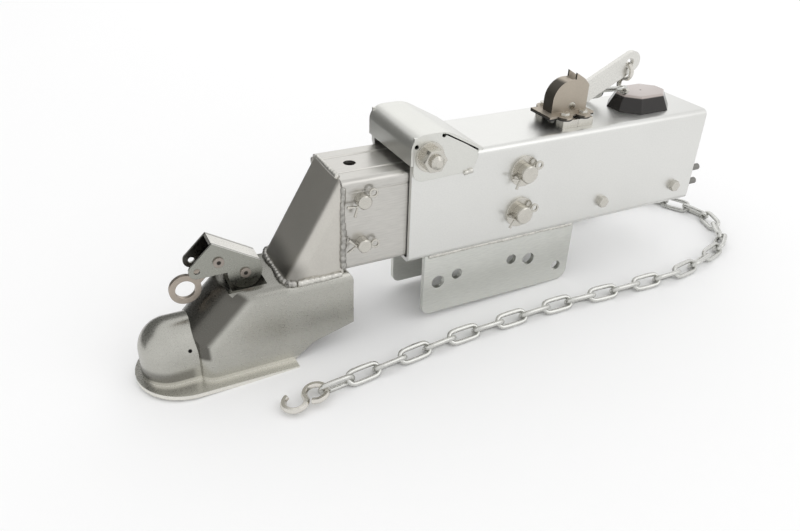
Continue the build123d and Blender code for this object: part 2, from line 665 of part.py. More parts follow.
# Coupler shell: a pressing with a rim flange, open underneath
shell_outside = shell_form(0, FLANGE_Z + FLANGE_T)
shell_inside = shell_form(SHELL_T, FLANGE_Z - OVERCUT)
with BuildPart() as coupler_shell:
    add(shell_outside)
    with BuildSketch(Plane.XY.offset(FLANGE_Z)):
        with Locations((FLANGE_X, 0)):
            Circle(FLANGE_HALF_W)
        with BuildLine():
            Polyline((FLANGE_X, -FLANGE_HALF_W), (FLANGE_REAR, -FLANGE_HALF_W), (FLANGE_REAR, FLANGE_HALF_W),
                     (FLANGE_X, FLANGE_HALF_W), close=True)
        make_face()
    extrude(amount=FLANGE_T)
    add(shell_inside, mode=Mode.SUBTRACT)
    # The skirt's lower edge rises behind the flange
    with BuildSketch(side()):
        with BuildLine():
            Polyline((FLANGE_REAR, FLANGE_Z - OVERCUT), (FLANGE_REAR, FLANGE_Z + FLANGE_T), (SKIRT_X, SKIRT_Z),
                     (SHELL_REAR + OVERCUT, SKIRT_REAR_Z), (SHELL_REAR + OVERCUT, FLANGE_Z - OVERCUT), close=True)
        make_face()
    extrude(amount=CASE_W, both=True, mode=Mode.SUBTRACT)
    # Trough in the roof for the latch's cam
    with BuildSketch(side()):
        with Locations(LATCH_PIVOT):
            Circle(TROUGH_R + SHELL_T)
        with Locations((LATCH_PIVOT[0], SHELL_TOP + CASE_H / 2)):
            Rectangle(CASE_L, CASE_H, mode=Mode.SUBTRACT)
    extrude(amount=TROUGH_W / 2 + SHELL_T, both=True)
    cross_rod(*LATCH_PIVOT, 2 * TROUGH_R, -TROUGH_W / 2, TROUGH_W / 2, mode=Mode.SUBTRACT)
    stem_slot = (STEM_W / 2 + PLAIN_GAP, STEM_T / 2 + PLAIN_GAP)
    block(LATCH_PIVOT[0] - stem_slot[0], LATCH_PIVOT[0] + stem_slot[0], -stem_slot[1], stem_slot[1],
          0, SHELL_TOP, mode=Mode.SUBTRACT)
    # Pin holes of the ball clamp in both walls
    cross_rod(*CLAMP_PIVOT, CLAMP_PIN_D + 2 * RUN_GAP, -CASE_W, CASE_W, mode=Mode.SUBTRACT)
keep(coupler_shell.part, "coupler_shell")

# Latch lever: a channel, its web along the top and its nose open to the front
top_dx = LATCH_TOP_REAR[0] - LATCH_TOP_FRONT[0]
top_dz = LATCH_TOP_REAR[1] - LATCH_TOP_FRONT[1]
top_len = hypot(top_dx, top_dz)
inward = (top_dz / top_len * LATCH_T, -top_dx / top_len * LATCH_T)
with BuildPart() as latch_lever:
    with BuildSketch(side()):
        with BuildLine():
            Polyline(LATCH_TOP_FRONT, LATCH_TOP_REAR, (LATCH_PIVOT[0] + LATCH_CAM_R, LATCH_PIVOT[1]), LATCH_PIVOT,
                     LATCH_KNEE, (LATCH_NOSE[0], LATCH_NOSE[1] - LATCH_NOSE_R),
                     (LATCH_NOSE[0] + LATCH_NOSE_R * cos(radians(LATCH_NOSE_TURN)),
                      LATCH_NOSE[1] + LATCH_NOSE_R * sin(radians(LATCH_NOSE_TURN))), close=True)
        make_face()
        with Locations(LATCH_PIVOT):
            Circle(LATCH_CAM_R)
        with Locations(LATCH_NOSE):
            Circle(LATCH_NOSE_R)
    extrude(amount=LATCH_W / 2, both=True)
    with BuildSketch(side()):
        with BuildLine():
            Polyline((LATCH_TOP_FRONT[0] - top_dx + inward[0], LATCH_TOP_FRONT[1] - top_dz + inward[1]),
                     (LATCH_TOP_REAR[0] + top_dx + inward[0], LATCH_TOP_REAR[1] + top_dz + inward[1]),
                     (LATCH_TOP_REAR[0] + top_dx, 0), (LATCH_TOP_FRONT[0] - top_dx, 0), close=True)
        make_face()
    extrude(amount=LATCH_W / 2 - LATCH_T, both=True, mode=Mode.SUBTRACT)
    cross_rod(*LATCH_NOSE, LATCH_NOSE_HOLE_D, -LATCH_W, LATCH_W, mode=Mode.SUBTRACT)
    for pivot in (LATCH_PIVOT, TRIGGER_PIVOT):
        cross_rod(*pivot, RIVET_D + 2 * RUN_GAP, -LATCH_W, LATCH_W, mode=Mode.SUBTRACT)
keep(latch_lever.part, "latch_lever")

with BuildPart() as latch_rivets:
    for pivot in (LATCH_PIVOT, TRIGGER_PIVOT):
        cross_rod(*pivot, RIVET_D, -LATCH_W / 2, LATCH_W / 2)
        for head in (-1, 1):
            cross_rod(*pivot, RIVET_HEAD_D, head * LATCH_W / 2, head * (LATCH_W / 2 + RIVET_HEAD_T))
keep(latch_rivets.part, "latch_rivets")

# Trigger: a flat plate with a finger ring, pivoted inside the latch lever
ring_angle = degrees(atan2(RING_CENTRE[1] - TRIGGER_PIVOT[1], RING_CENTRE[0] - TRIGGER_PIVOT[0]))
ring_reach = hypot(RING_CENTRE[1] - TRIGGER_PIVOT[1], RING_CENTRE[0] - TRIGGER_PIVOT[0])
with BuildPart() as trigger_ring:
    with BuildSketch(side()):
        with Locations(RING_CENTRE):
            Circle(RING_D / 2)
        with Locations(TRIGGER_PIVOT):
            Circle(EYE_R)
        with Locations(Location((TRIGGER_PIVOT[0], TRIGGER_PIVOT[1], 0), (0, 0, ring_angle))):
            with Locations((ring_reach / 2, 0)):
                Rectangle(ring_reach, 2 * EYE_R)
        with Locations(RING_CENTRE):
            Circle(RING_HOLE_D / 2, mode=Mode.SUBTRACT)
        with Locations(TRIGGER_PIVOT):
            Circle(RIVET_D / 2 + RUN_GAP, mode=Mode.SUBTRACT)
    extrude(amount=TRIGGER_T / 2, both=True)
keep(trigger_ring.part, "trigger_ring")

# Stem that hangs from the latch pivot and holds the ball clamp up
clamp_floor = CLAMP_PIVOT[1] - CLAMP_T / 2
stem_end = clamp_floor - CLAMP_DROP - STEM_NUT_T
with BuildPart() as latch_stem:
    cross_rod(*LATCH_PIVOT, 2 * EYE_R, -STEM_T / 2, STEM_T / 2)
    block(LATCH_PIVOT[0] - STEM_W / 2, LATCH_PIVOT[0] + STEM_W / 2, -STEM_T / 2, STEM_T / 2,
          stem_end, LATCH_PIVOT[1])
    cross_rod(*LATCH_PIVOT, RIVET_D + 2 * RUN_GAP, -LATCH_W, LATCH_W, mode=Mode.SUBTRACT)
keep(latch_stem.part, "latch_stem")

with BuildPart() as stem_nut:
    with BuildSketch(Plane.XY.offset(stem_end)):
        with Locations((LATCH_PIVOT[0], 0)):
            RegularPolygon(STEM_NUT_AF / 2, 6, major_radius=False)
            Rectangle(STEM_W + 2 * RUN_GAP, STEM_T + 2 * RUN_GAP, mode=Mode.SUBTRACT)
    extrude(amount=STEM_NUT_T)
keep(stem_nut.part, "stem_nut")

# Ball clamp: a jaw behind the ball, pivoted at its rear
with BuildPart() as ball_clamp:
    block(DOME_X, CLAMP_PIVOT[0], -CLAMP_W / 2, CLAMP_W / 2, clamp_floor, clamp_floor + CLAMP_T)
    block(DOME_X, DOME_X + BALL_D / 2 + CLAMP_T, -CLAMP_W / 2, CLAMP_W / 2,
          clamp_floor - CLAMP_T, clamp_floor + CLAMP_T)
    cross_rod(*CLAMP_PIVOT, 2 * CLAMP_T, -CLAMP_W / 2, CLAMP_W / 2)
    cross_rod(*CLAMP_PIVOT, CLAMP_PIN_D + 2 * RUN_GAP, -CASE_W, CASE_W, mode=Mode.SUBTRACT)
    with Locations((DOME_X, 0, DOME_Z)):
        Sphere(BALL_D / 2 + SOCKET_GAP, mode=Mode.SUBTRACT)
    block(-2 * CASE_L, DOME_X + BALL_D / 4, -CASE_W, CASE_W, -CASE_H, CASE_H, mode=Mode.SUBTRACT)
    stem_room = (STEM_W / 2 + 2 * SLOT_GAP, STEM_T / 2 + SLOT_GAP)
    block(LATCH_PIVOT[0] - stem_room[0], LATCH_PIVOT[0] + stem_room[0], -stem_room[1], stem_room[1],
          -CASE_H, CASE_H, mode=Mode.SUBTRACT)
keep(ball_clamp.part, "ball_clamp")

with BuildPart() as clamp_pin:
    cross_rod(*CLAMP_PIVOT, CLAMP_PIN_D, -SHELL_HALF_W, SHELL_HALF_W)
keep(clamp_pin.part, "clamp_pin")

# Push bar: a plate on edge, pinned to the slide and slotted round the roller pin
with BuildPart() as push_bar:
    with BuildSketch(side()):
        with Locations((SLIDE_PIN_X, UPPER_PIN_Z)):
            Circle(BAR_EYE_R)
        with BuildLine():
            Polyline((SLIDE_PIN_X, UPPER_PIN_Z + BAR_EYE_R), (CASE_PIN_X - TRAVEL - CASE_PIN_D, BAR_TOP),
                     (BAR_REAR, BAR_TOP), (BAR_REAR, BAR_ARM_BOTTOM), (BAR_LEG_REAR, BAR_ARM_BOTTOM),
                     (BAR_LEG_REAR, BORE_Z), (BAR_LEG_FRONT, BORE_Z), (BAR_LEG_FRONT, BAR_BOTTOM),
                     (CASE_PIN_X - TRAVEL - CASE_PIN_D, BAR_BOTTOM), (SLIDE_PIN_X, UPPER_PIN_Z - BAR_EYE_R),
                     close=True)
        make_face()
        with Locations((CASE_PIN_X - TRAVEL / 2, UPPER_PIN_Z)):
            SlotCenterToCenter(TRAVEL, CASE_PIN_D + 2 * SLOT_GAP, mode=Mode.SUBTRACT)
        with Locations((SLIDE_PIN_X, UPPER_PIN_Z)):
            Circle(SLIDE_PIN_D / 2 + RUN_GAP, mode=Mode.SUBTRACT)
        with Locations((TRIP_PIN_X, TRIP_PIN_Z)):
            Circle(TRIP_PIN_D / 2 + RUN_GAP, mode=Mode.SUBTRACT)
    extrude(amount=BAR_T / 2, both=True)
    long_rod(BAR_LEG_FRONT, BAR_LEG_REAR, 0, BORE_Z, PUSH_BOSS_D)
    long_rod(BAR_LEG_FRONT - OVERCUT, BAR_LEG_REAR + OVERCUT, 0, BORE_Z, PUSH_ROD_D + 2 * RUN_GAP,
             mode=Mode.SUBTRACT)
keep(push_bar.part, "push_bar")

with BuildPart() as trip_pin:
    cross_rod(TRIP_PIN_X, TRIP_PIN_Z, TRIP_PIN_D, BAR_T / 2, LEVER_Y - LEVER_T / 2 - SLOT_GAP)
keep(trip_pin.part, "trip_pin")

with BuildPart() as push_rod:
    long_rod(BAR_LEG_FRONT, PISTON_FRONT + ROD_SEAT - PUSH_ROD_D / 2 - PLAIN_GAP, 0, BORE_Z, PUSH_ROD_D)
    with Locations((PISTON_FRONT + ROD_SEAT - PUSH_ROD_D / 2 - PLAIN_GAP, 0, BORE_Z)):
        Sphere(PUSH_ROD_D / 2)
keep(push_rod.part, "push_rod")

with BuildPart() as jam_nut:
    with BuildSketch(Plane.YZ.offset(BAR_LEG_REAR)):
        with Locations((0, BORE_Z)):
            RegularPolygon(JAM_NUT_AF / 2, 6, major_radius=False)
            Circle(PUSH_ROD_D / 2 + RUN_GAP, mode=Mode.SUBTRACT)
    extrude(amount=JAM_NUT_T)
keep(jam_nut.part, "jam_nut")

with BuildPart() as piston:
    long_rod(PISTON_FRONT, PISTON_FRONT + PISTON_L, 0, BORE_Z, BORE_D - 2 * RUN_GAP)
    long_rod(PISTON_FRONT - OVERCUT, PISTON_FRONT + ROD_SEAT, 0, BORE_Z, PUSH_ROD_D + 2 * PLAIN_GAP,
             mode=Mode.SUBTRACT)
keep(piston.part, "piston")

# Master cylinder: a casting with two cross feet, a tank above the bore and an outlet block behind
tank_bottom = BORE_Z + CYLINDER_D / 4
tank_top = case_roof - TANK_GAP
filler_top = case_top + FILLER_RISE
with BuildPart() as master_cylinder:
    long_rod(CYLINDER_FRONT, CYLINDER_REAR, 0, BORE_Z, CYLINDER_D)
    for foot_x in FOOT_BOLTS_X:
        cross_rod(foot_x, FOOT_Z, FOOT_D, -case_inner_half + PLAIN_GAP, case_inner_half - PLAIN_GAP)
        block(max(foot_x - FOOT_D / 2, CYLINDER_FRONT), foot_x + FOOT_D / 2, -FOOT_WEB_T, FOOT_WEB_T,
              FOOT_Z, BORE_Z)
    block(TANK_FRONT, TANK_REAR, -TANK_W / 2, TANK_W / 2, tank_bottom, tank_top)
    fillet(master_cylinder.edges().filter_by(Axis.Z).group_by(SortBy.LENGTH)[-1], TANK_R)
    with Locations((FILLER_X, 0, (tank_top + filler_top) / 2)):
        Cylinder(FILLER_D / 2, filler_top - tank_top)
    block(TANK_REAR, CYLINDER_REAR, OUTLET_Y - OUTLET_HEX_AF / 2, OUTLET_BLOCK_RIGHT,
          OUTLET_Z[0] - OUTLET_HEX_AF / 2, BORE_Z)
    long_rod(CYLINDER_FRONT - OVERCUT, BORE_END, 0, BORE_Z, BORE_D, mode=Mode.SUBTRACT)
    for foot_x in FOOT_BOLTS_X:
        cross_rod(foot_x, FOOT_Z, FOOT_BOLT_D + 2 * RUN_GAP, -CASE_W, CASE_W, mode=Mode.SUBTRACT)
    with Locations((FILLER_X, 0, filler_top)):
        Cylinder(FILLER_D / 2 - TANK_WALL, 2 * (filler_top - BORE_Z - BORE_D), mode=Mode.SUBTRACT)
    for outlet_z in OUTLET_Z:
        long_rod(TANK_REAR + TANK_WALL, CYLINDER_REAR + OVERCUT, OUTLET_Y, outlet_z, OUTLET_D + 2 * RUN_GAP,
                 mode=Mode.SUBTRACT)
keep(master_cylinder.part, "master_cylinder")

for fitting_name, outlet_z in (("line_fitting", OUTLET_Z[0]), ("bleed_screw", OUTLET_Z[1])):
    with BuildPart() as fitting:
        long_rod(TANK_REAR + TANK_WALL, OUTLET_END, OUTLET_Y, outlet_z, OUTLET_D)
        with BuildSketch(Plane.YZ.offset(CYLINDER_REAR)):
            with Locations((OUTLET_Y, outlet_z)):
                RegularPolygon(OUTLET_HEX_AF / 2, 6, major_radius=False)
        extrude(amount=OUTLET_HEX_T)
        chamfer(fitting.faces().sort_by(Axis.X)[-1].edges(), PIN_CHAMFER)
    keep(fitting.part, fitting_name)

# Through bolts of the master cylinder: head on the left, nut on the right
with BuildPart() as cylinder_bolts:
    for foot_x in FOOT_BOLTS_X:
        cross_rod(foot_x, FOOT_Z, FOOT_BOLT_D, -CASE_W / 2, CASE_W / 2 + FOOT_HEAD_T + FOOT_BOLT_TIP)
        with BuildSketch(side(-CASE_W / 2)):
            with Locations((foot_x, FOOT_Z)):
                RegularPolygon(FOOT_HEAD_AF / 2, 6, major_radius=False)
        extrude(amount=FOOT_HEAD_T)
keep(cylinder_bolts.part, "cylinder_bolts")

with BuildPart() as cylinder_nuts:
    for foot_x in FOOT_BOLTS_X:
        with BuildSketch(side(CASE_W / 2)):
            with Locations((foot_x, FOOT_Z)):
                RegularPolygon(FOOT_HEAD_AF / 2, 6, major_radius=False)
                Circle(FOOT_BOLT_D / 2 + RUN_GAP, mode=Mode.SUBTRACT)
        extrude(amount=-FOOT_HEAD_T)
keep(cylinder_nuts.part, "cylinder_nuts")

# Damper between the two lower pins
damper_bore = DAMPER_D - 2 * DAMPER_WALL
with BuildPart() as damper_tube:
    long_rod(DAMPER_FRONT, CASE_PIN_X, 0, LOWER_PIN_Z, DAMPER_D)
    cross_rod(CASE_PIN_X, LOWER_PIN_Z, DAMPER_D, -DAMPER_EYE_W / 2, DAMPER_EYE_W / 2)
    long_rod(DAMPER_FRONT + DAMPER_CAP_T, CASE_PIN_X - DAMPER_D / 2 - DAMPER_WALL, 0, LOWER_PIN_Z, damper_bore,
             mode=Mode.SUBTRACT)
    long_rod(DAMPER_FRONT - OVERCUT, CASE_PIN_X - DAMPER_D / 2 - DAMPER_WALL, 0, LOWER_PIN_Z,
             DAMPER_ROD_D + 2 * RUN_GAP,
             mode=Mode.SUBTRACT)
    cross_rod(CASE_PIN_X, LOWER_PIN_Z, CASE_PIN_D + 2 * RUN_GAP, -CASE_W, CASE_W, mode=Mode.SUBTRACT)
keep(damper_tube.part, "damper_tube")

rod_tip = CASE_PIN_X - DAMPER_D / 2 - DAMPER_WALL - TRAVEL - 2 * SLOT_GAP
with BuildPart() as damper_rod:
    long_rod(SLIDE_PIN_X, rod_tip, 0, LOWER_PIN_Z, DAMPER_ROD_D)
    long_rod(rod_tip - DAMPER_PISTON_T, rod_tip, 0, LOWER_PIN_Z, damper_bore - 2 * PLAIN_GAP)
    cross_rod(SLIDE_PIN_X, LOWER_PIN_Z, 2 * ROD_EYE_R, -ROD_EYE_W / 2, ROD_EYE_W / 2)
    cross_rod(SLIDE_PIN_X, LOWER_PIN_Z, SLIDE_PIN_D + 2 * RUN_GAP, -CASE_W, CASE_W, mode=Mode.SUBTRACT)
keep(damper_rod.part, "damper_rod")

# Filler cap: a moulded rubber cover pushed on the filler neck
cap_floor = case_top + PLAIN_GAP


def cap_loft(inset, z_from, z_to):
    """Eight-sided tapered form of the cap between two heights, inset by a wall."""
    with BuildPart() as form:
        for z in (z_from, z_to):
            draft = CAP_DRAFT * (z - cap_floor) / CAP_H + inset
            with BuildSketch(Plane.XY.offset(z)):
                with Locations((FILLER_X, 0)):
                    Rectangle(CAP_L - 2 * draft, CAP_W - 2 * draft)
                chamfer(vertices(), CAP_CORNER - draft / 2)
        loft(ruled=True)
    return form.part


with BuildPart() as filler_cap:
    add(cap_loft(0, cap_floor, cap_floor + CAP_H))
    fillet(filler_cap.edges().filter_by(lambda e: e.center().Z > cap_floor + OVERCUT), CAP_ROUND)
    add(cap_loft(CAP_WALL, cap_floor, cap_floor + CAP_H - CAP_WALL), mode=Mode.SUBTRACT)
    with Locations((FILLER_X, 0, cap_floor + CAP_H - CAP_WALL)):
        Cylinder(FILLER_D / 2 + CAP_WALL, CAP_H - 2 * CAP_WALL, align=(Align.CENTER, Align.CENTER, Align.MAX))
        Cylinder(FILLER_D / 2 + RUN_GAP, CAP_H, align=(Align.CENTER, Align.CENTER, Align.MAX), mode=Mode.SUBTRACT)
        Cylinder(VENT_D / 2, 3 * CAP_WALL, mode=Mode.SUBTRACT)
keep(filler_cap.part, "filler_cap")

# Lever bracket: a drawn cover with a lobed flange, on a gasket and four weld nuts
cover_mid_x = COVER_FRONT + COVER_R
cover_arc_z = case_top + COVER_ARC_RISE
screw_places = [(x, LEVER_Y + s * BRACKET_SCREW_Y) for x in BRACKET_SCREW_X for s in (-1, 1)]


def bracket_flange(z, thickness):
    """Flange outline with a lobe round each screw, holed for the screws."""
    with BuildPart() as flange:
        with BuildSketch(Plane.XY.offset(z)):
            with Locations(((BRACKET_FRONT + BRACKET_REAR) / 2, LEVER_Y)):
                Rectangle(BRACKET_REAR - BRACKET_FRONT, BRACKET_W - 2 * BRACKET_HEAD_AF)
            with Locations(*screw_places):
                Circle(BRACKET_LOBE_R)
            with Locations(*screw_places):
                Circle(BRACKET_SCREW_D / 2 + RUN_GAP, mode=Mode.SUBTRACT)
            with Locations(((tail_front + COVER_REAR) / 2, LEVER_Y)):
                Rectangle(COVER_REAR - tail_front, COVER_W - 2 * COVER_T, mode=Mode.SUBTRACT)
        extrude(amount=thickness)
    return flange.part


def cover_outline(inset):
    """Side view of the drawn cover: round in front, with a peak at the notch for the lever."""
    crown = cover_arc_z + COVER_R - inset
    with BuildSketch(side(LEVER_Y)) as outline:
        with BuildLine():
            Line((COVER_FRONT + inset, bracket_z), (COVER_FRONT + inset, cover_arc_z))
            CenterArc((cover_mid_x, cover_arc_z), COVER_R - inset, 180, -90)
            Polyline((cover_mid_x, crown), (COVER_FRONT + COVER_PEAK, crown),
                     (COVER_FRONT + COVER_PEAK, crown + COVER_PEAK_RISE), (COVER_REAR - COVER_SLANT, crown),
                     (COVER_REAR, crown - COVER_SLANT), (COVER_REAR, bracket_z), (COVER_FRONT + inset, bracket_z))
        make_face()
    return outline.sketch


with BuildPart() as lever_bracket:
    add(bracket_flange(bracket_z, COVER_T))
    extrude(cover_outline(0), amount=COVER_W / 2, both=True)
    extrude(cover_outline(COVER_T), amount=COVER_W / 2 - COVER_T, both=True, mode=Mode.SUBTRACT)
    # Open at the back and along the notch, down through the flange
    room_half = COVER_W / 2 - COVER_T
    block(COVER_FRONT + COVER_PEAK - NOTCH_BACK, COVER_REAR + OVERCUT, LEVER_Y - room_half, LEVER_Y + room_half,
          bracket_z - OVERCUT, cover_arc_z + 2 * COVER_R, mode=Mode.SUBTRACT)
    block(tail_front, COVER_REAR, LEVER_Y - room_half, LEVER_Y + room_half,
          bracket_z - OVERCUT, bracket_z + COVER_T + OVERCUT, mode=Mode.SUBTRACT)
    cross_rod(LEVER_PIVOT_X, lever_pivot_z, LEVER_PIN_D + 2 * RUN_GAP, -CASE_W, CASE_W, mode=Mode.SUBTRACT)
keep(lever_bracket.part, "lever_bracket")

keep(bracket_flange(case_top + WELD_NUT_T, GASKET_T), "lever_gasket")

with BuildPart() as weld_nuts:
    nut_front = BRACKET_SCREW_X[0] + WELD_NUT_SHIFT
    for nut_x in (nut_front, nut_front + WELD_NUT_L + PLAIN_GAP):
        for nut_side in (-1, 1):
            with Locations((nut_x, LEVER_Y + nut_side * BRACKET_SCREW_Y, case_top + WELD_NUT_T / 2)):
                Box(WELD_NUT_L, WELD_NUT_W, WELD_NUT_T)
    for screw_x, screw_y in screw_places:
        with Locations((screw_x, screw_y, case_top + WELD_NUT_T / 2)):
            Cylinder(BRACKET_SCREW_D / 2 + RUN_GAP, 2 * WELD_NUT_T, mode=Mode.SUBTRACT)
keep(weld_nuts.part, "weld_nuts")

with BuildPart() as bracket_screws:
    with BuildSketch(Plane.XY.offset(bracket_z + COVER_T)):
        with Locations(*screw_places):
            RegularPolygon(BRACKET_HEAD_AF / 2, 6, major_radius=False)
    extrude(amount=BRACKET_HEAD_T)
    with BuildSketch(Plane.XY.offset(bracket_z + COVER_T)):
        with Locations(*screw_places):
            Circle(BRACKET_SCREW_D / 2)
    extrude(amount=-BRACKET_SCREW_L)
keep(bracket_screws.part, "bracket_screws")

with BuildPart() as lever_pivot_pin:
    cross_rod(LEVER_PIVOT_X, lever_pivot_z, LEVER_PIN_D, LEVER_Y - COVER_W / 2, LEVER_Y + COVER_W / 2)
keep(lever_pivot_pin.part, "lever_pivot_pin")


def along(angle, reach, across=0.0):
    """Point at a reach from the lever's pivot along an angle, and off to its left."""
    c, s = cos(radians(angle)), sin(radians(angle))
    return (LEVER_PIVOT_X + reach * c - across * s, lever_pivot_z + reach * s + across * c)


# Emergency lever: a flat bar, its tail bent down through the case to the trip pin
lever_hole = along(LEVER_ANGLE, LEVER_ARM - LEVER_HOLE_BACK)
with BuildPart() as emergency_lever:
    with BuildSketch(side(LEVER_Y)):
        with BuildLine():
            Polyline(along(LEVER_ANGLE, 0, LEVER_W / 2), along(LEVER_ANGLE, LEVER_ARM, LEVER_W / 2),
                     along(LEVER_ANGLE, LEVER_ARM, -LEVER_W / 2), along(LEVER_ANGLE, 0, -LEVER_W / 2), close=True)
        make_face()
        with BuildLine():
            Polyline(along(TAIL_ANGLE, 0, TAIL_R), along(TAIL_ANGLE, TAIL_L, TAIL_R),
                     along(TAIL_ANGLE, TAIL_L, -TAIL_R), along(TAIL_ANGLE, 0, -TAIL_R), close=True)
        make_face()
        with Locations((LEVER_PIVOT_X, lever_pivot_z), along(LEVER_ANGLE, LEVER_ARM)):
            Circle(LEVER_W / 2)
        with Locations(along(TAIL_ANGLE, TAIL_L)):
            Circle(TAIL_R)
        with Locations(lever_hole):
            Circle(LEVER_HOLE_D / 2, mode=Mode.SUBTRACT)
        with Locations((LEVER_PIVOT_X, lever_pivot_z)):
            Circle(LEVER_PIN_D / 2 + RUN_GAP, mode=Mode.SUBTRACT)
    extrude(amount=LEVER_T / 2, both=True)
keep(emergency_lever.part, "emergency_lever")


def s_hook(radius, end_sweep):
    """S-hook in the sketch plane: a hook above the middle and a loop of a given sweep below it."""
    with BuildPart() as hook:
        with BuildLine() as wire:
            CenterArc((0, radius), radius, -90 - HOOK_SWEEP, HOOK_SWEEP)
            CenterArc((0, -radius), radius, 90, -end_sweep)
        path = wire.wires()[0]
        with BuildSketch(Plane(origin=path @ 0, x_dir=(0, 0, 1), z_dir=path % 0)):
            RegularPolygon(HOOK_WIRE_D / 2, 6, rotation=30)
        sweep(path=path)
    return hook.part


# Hook through the lever's end, holding the chain
hook_inner = LEVER_HOOK_R - HOOK_WIRE_D / 2
hook_sag = hook_inner - sqrt(hook_inner ** 2 - (LEVER_T / 2) ** 2)
hook_bed_z = lever_hole[1] - LEVER_HOLE_D / 2 + HOOK_WIRE_D / 2 + hook_sag + PLAIN_GAP
lever_hook_mid = hook_bed_z - 2 * LEVER_HOOK_R
lever_hook_place = Plane(origin=(lever_hole[0], LEVER_Y, lever_hook_mid), x_dir=(0, 1, 0), z_dir=(1, 0, 0))
with BuildPart() as lever_hook:
    add(lever_hook_place.location * s_hook(LEVER_HOOK_R, HOOK_SWEEP))
keep(lever_hook.part, "lever_hook")


def floor_z(x):
    """Height of the surface that the coupler and the plates rest on, nose up."""
    return FLOOR_REAR_Z + FLOOR_SLOPE * (x - PLATE_REAR)


# One chain link, with flat-sided wire and a flat at each end
straight = LINK_PITCH / 2 - (LINK_W / 2 - WIRE_D) * cos(radians(90 / LINK_END_STEPS))
turns = [180.0 / LINK_END_STEPS * step - 90 for step in range(LINK_END_STEPS + 1)]
with BuildPart() as link:
    with BuildSketch():
        for bow_r, bow_mode in ((LINK_W / 2, Mode.ADD), (LINK_W / 2 - WIRE_D, Mode.SUBTRACT)):
            front_end = [(straight + bow_r * cos(radians(a)), bow_r * sin(radians(a))) for a in turns]
            with BuildLine():
                Polyline(*front_end, *[(-x, -y) for x, y in front_end], close=True)
            make_face(mode=bow_mode)
    extrude(amount=WIRE_D / 2, both=True)
    chamfer(link.edges().filter_by(Plane.XY), WIRE_D * (1 - sqrt(0.5)))

# Chain: each link lies between two knuckles on the route, a quarter turn from the last
seat_z = lever_hook_mid - 2 * LEVER_HOOK_R + (HOOK_WIRE_D + WIRE_D) / 2 + 2 * PLAIN_GAP
hook_seat = Vector(lever_hole[0], LEVER_Y, seat_z)
first_run = (Vector(*DROP_ROUTE[0]) - hook_seat).normalized()
link_rise = (LINK_W - WIRE_D) / 2 * sin(radians(LINK_LEAN)) + WIRE_D / 2
route = [hook_seat + first_run * (WIRE_D + LINK_SLACK) / 2] + [Vector(*p) for p in DROP_ROUTE]
route += [Vector(x, y, floor_z(x) + link_rise) for x, y in FLOOR_ROUTE]
route[-1] += Vector(0, 0, HOOK_RISE)
chain_line = Spline(*route)


def next_place(place):
    """Share of the chain's line at the next knuckle on from another, nearer where the line bends."""
    ahead = min(1.0, place + LINK_PITCH / chain_line.length)
    bend = radians((chain_line % place).get_angle(chain_line % ahead))
    step = LINK_PITCH - LINK_SLACK - BEND_SLACK * bend ** 2
    low, high = place, min(1.0, place + 2 * step / chain_line.length)
    for _ in range(24):
        middle = (low + high) / 2
        if (chain_line @ middle - chain_line @ place).length < step:
            low = middle
        else:
            high = middle
    return high


places = [0.0]
while next_place(places[-1]) < 1.0:
    places.append(next_place(places[-1]))
knuckles = [chain_line @ place for place in places]

links = []
for count, (knuckle, next_knuckle) in enumerate(zip(knuckles, knuckles[1:])):
    run = (next_knuckle - knuckle).normalized()
    level = Vector(1, 0, 0) if count < DROP_LINKS else Vector(0, 0, 1)
    normal = level.cross(run).normalized()
    lean = LINK_LEAN * min(1.0, max(0.0, (count - LEAN_FROM) / LEAN_LINKS))
    roll = radians(90 * (count % 2) - lean)
    if next_knuckle == knuckles[-1]:
        roll = radians(180 * ((count + 1) % 2) - HOOK_LEAN * (-1) ** count)
    face = normal * cos(roll) + run.cross(normal) * sin(roll)
    links.append(Plane(origin=(knuckle + next_knuckle) / 2, x_dir=run, z_dir=face).location * link.part)
with BuildPart() as breakaway_chain:
    add(links)
keep(breakaway_chain.part, "breakaway_chain")

# Hook on the chain's free end, its closed eye through the last link
eye_middle = knuckles[-1] + run * (CHAIN_HOOK_R - HOOK_WIRE_D / 2 - 3 * PLAIN_GAP)
eye_drop = link_rise - HOOK_WIRE_D / 2
tip_run = (run - Vector(0, 0, eye_drop / (4 * CHAIN_HOOK_R))).normalized()
hook_across = tip_run.cross(Vector(0, 0, 1))
hook_middle = eye_middle + tip_run * CHAIN_HOOK_R
hook_plane = Plane(origin=hook_middle, x_dir=hook_across, z_dir=hook_across.cross(tip_run))
with BuildPart() as chain_hook:
    add(hook_plane.location * s_hook(CHAIN_HOOK_R, EYE_SWEEP))
keep(chain_hook.part, "chain_hook")
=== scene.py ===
"""Looks of a trailer brake actuator, built as a Blender add-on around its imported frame."""

import json
import math

import bmesh
import bpy
from bpy.props import FloatProperty, FloatVectorProperty, IntProperty, PointerProperty
from mathutils import Matrix, Vector


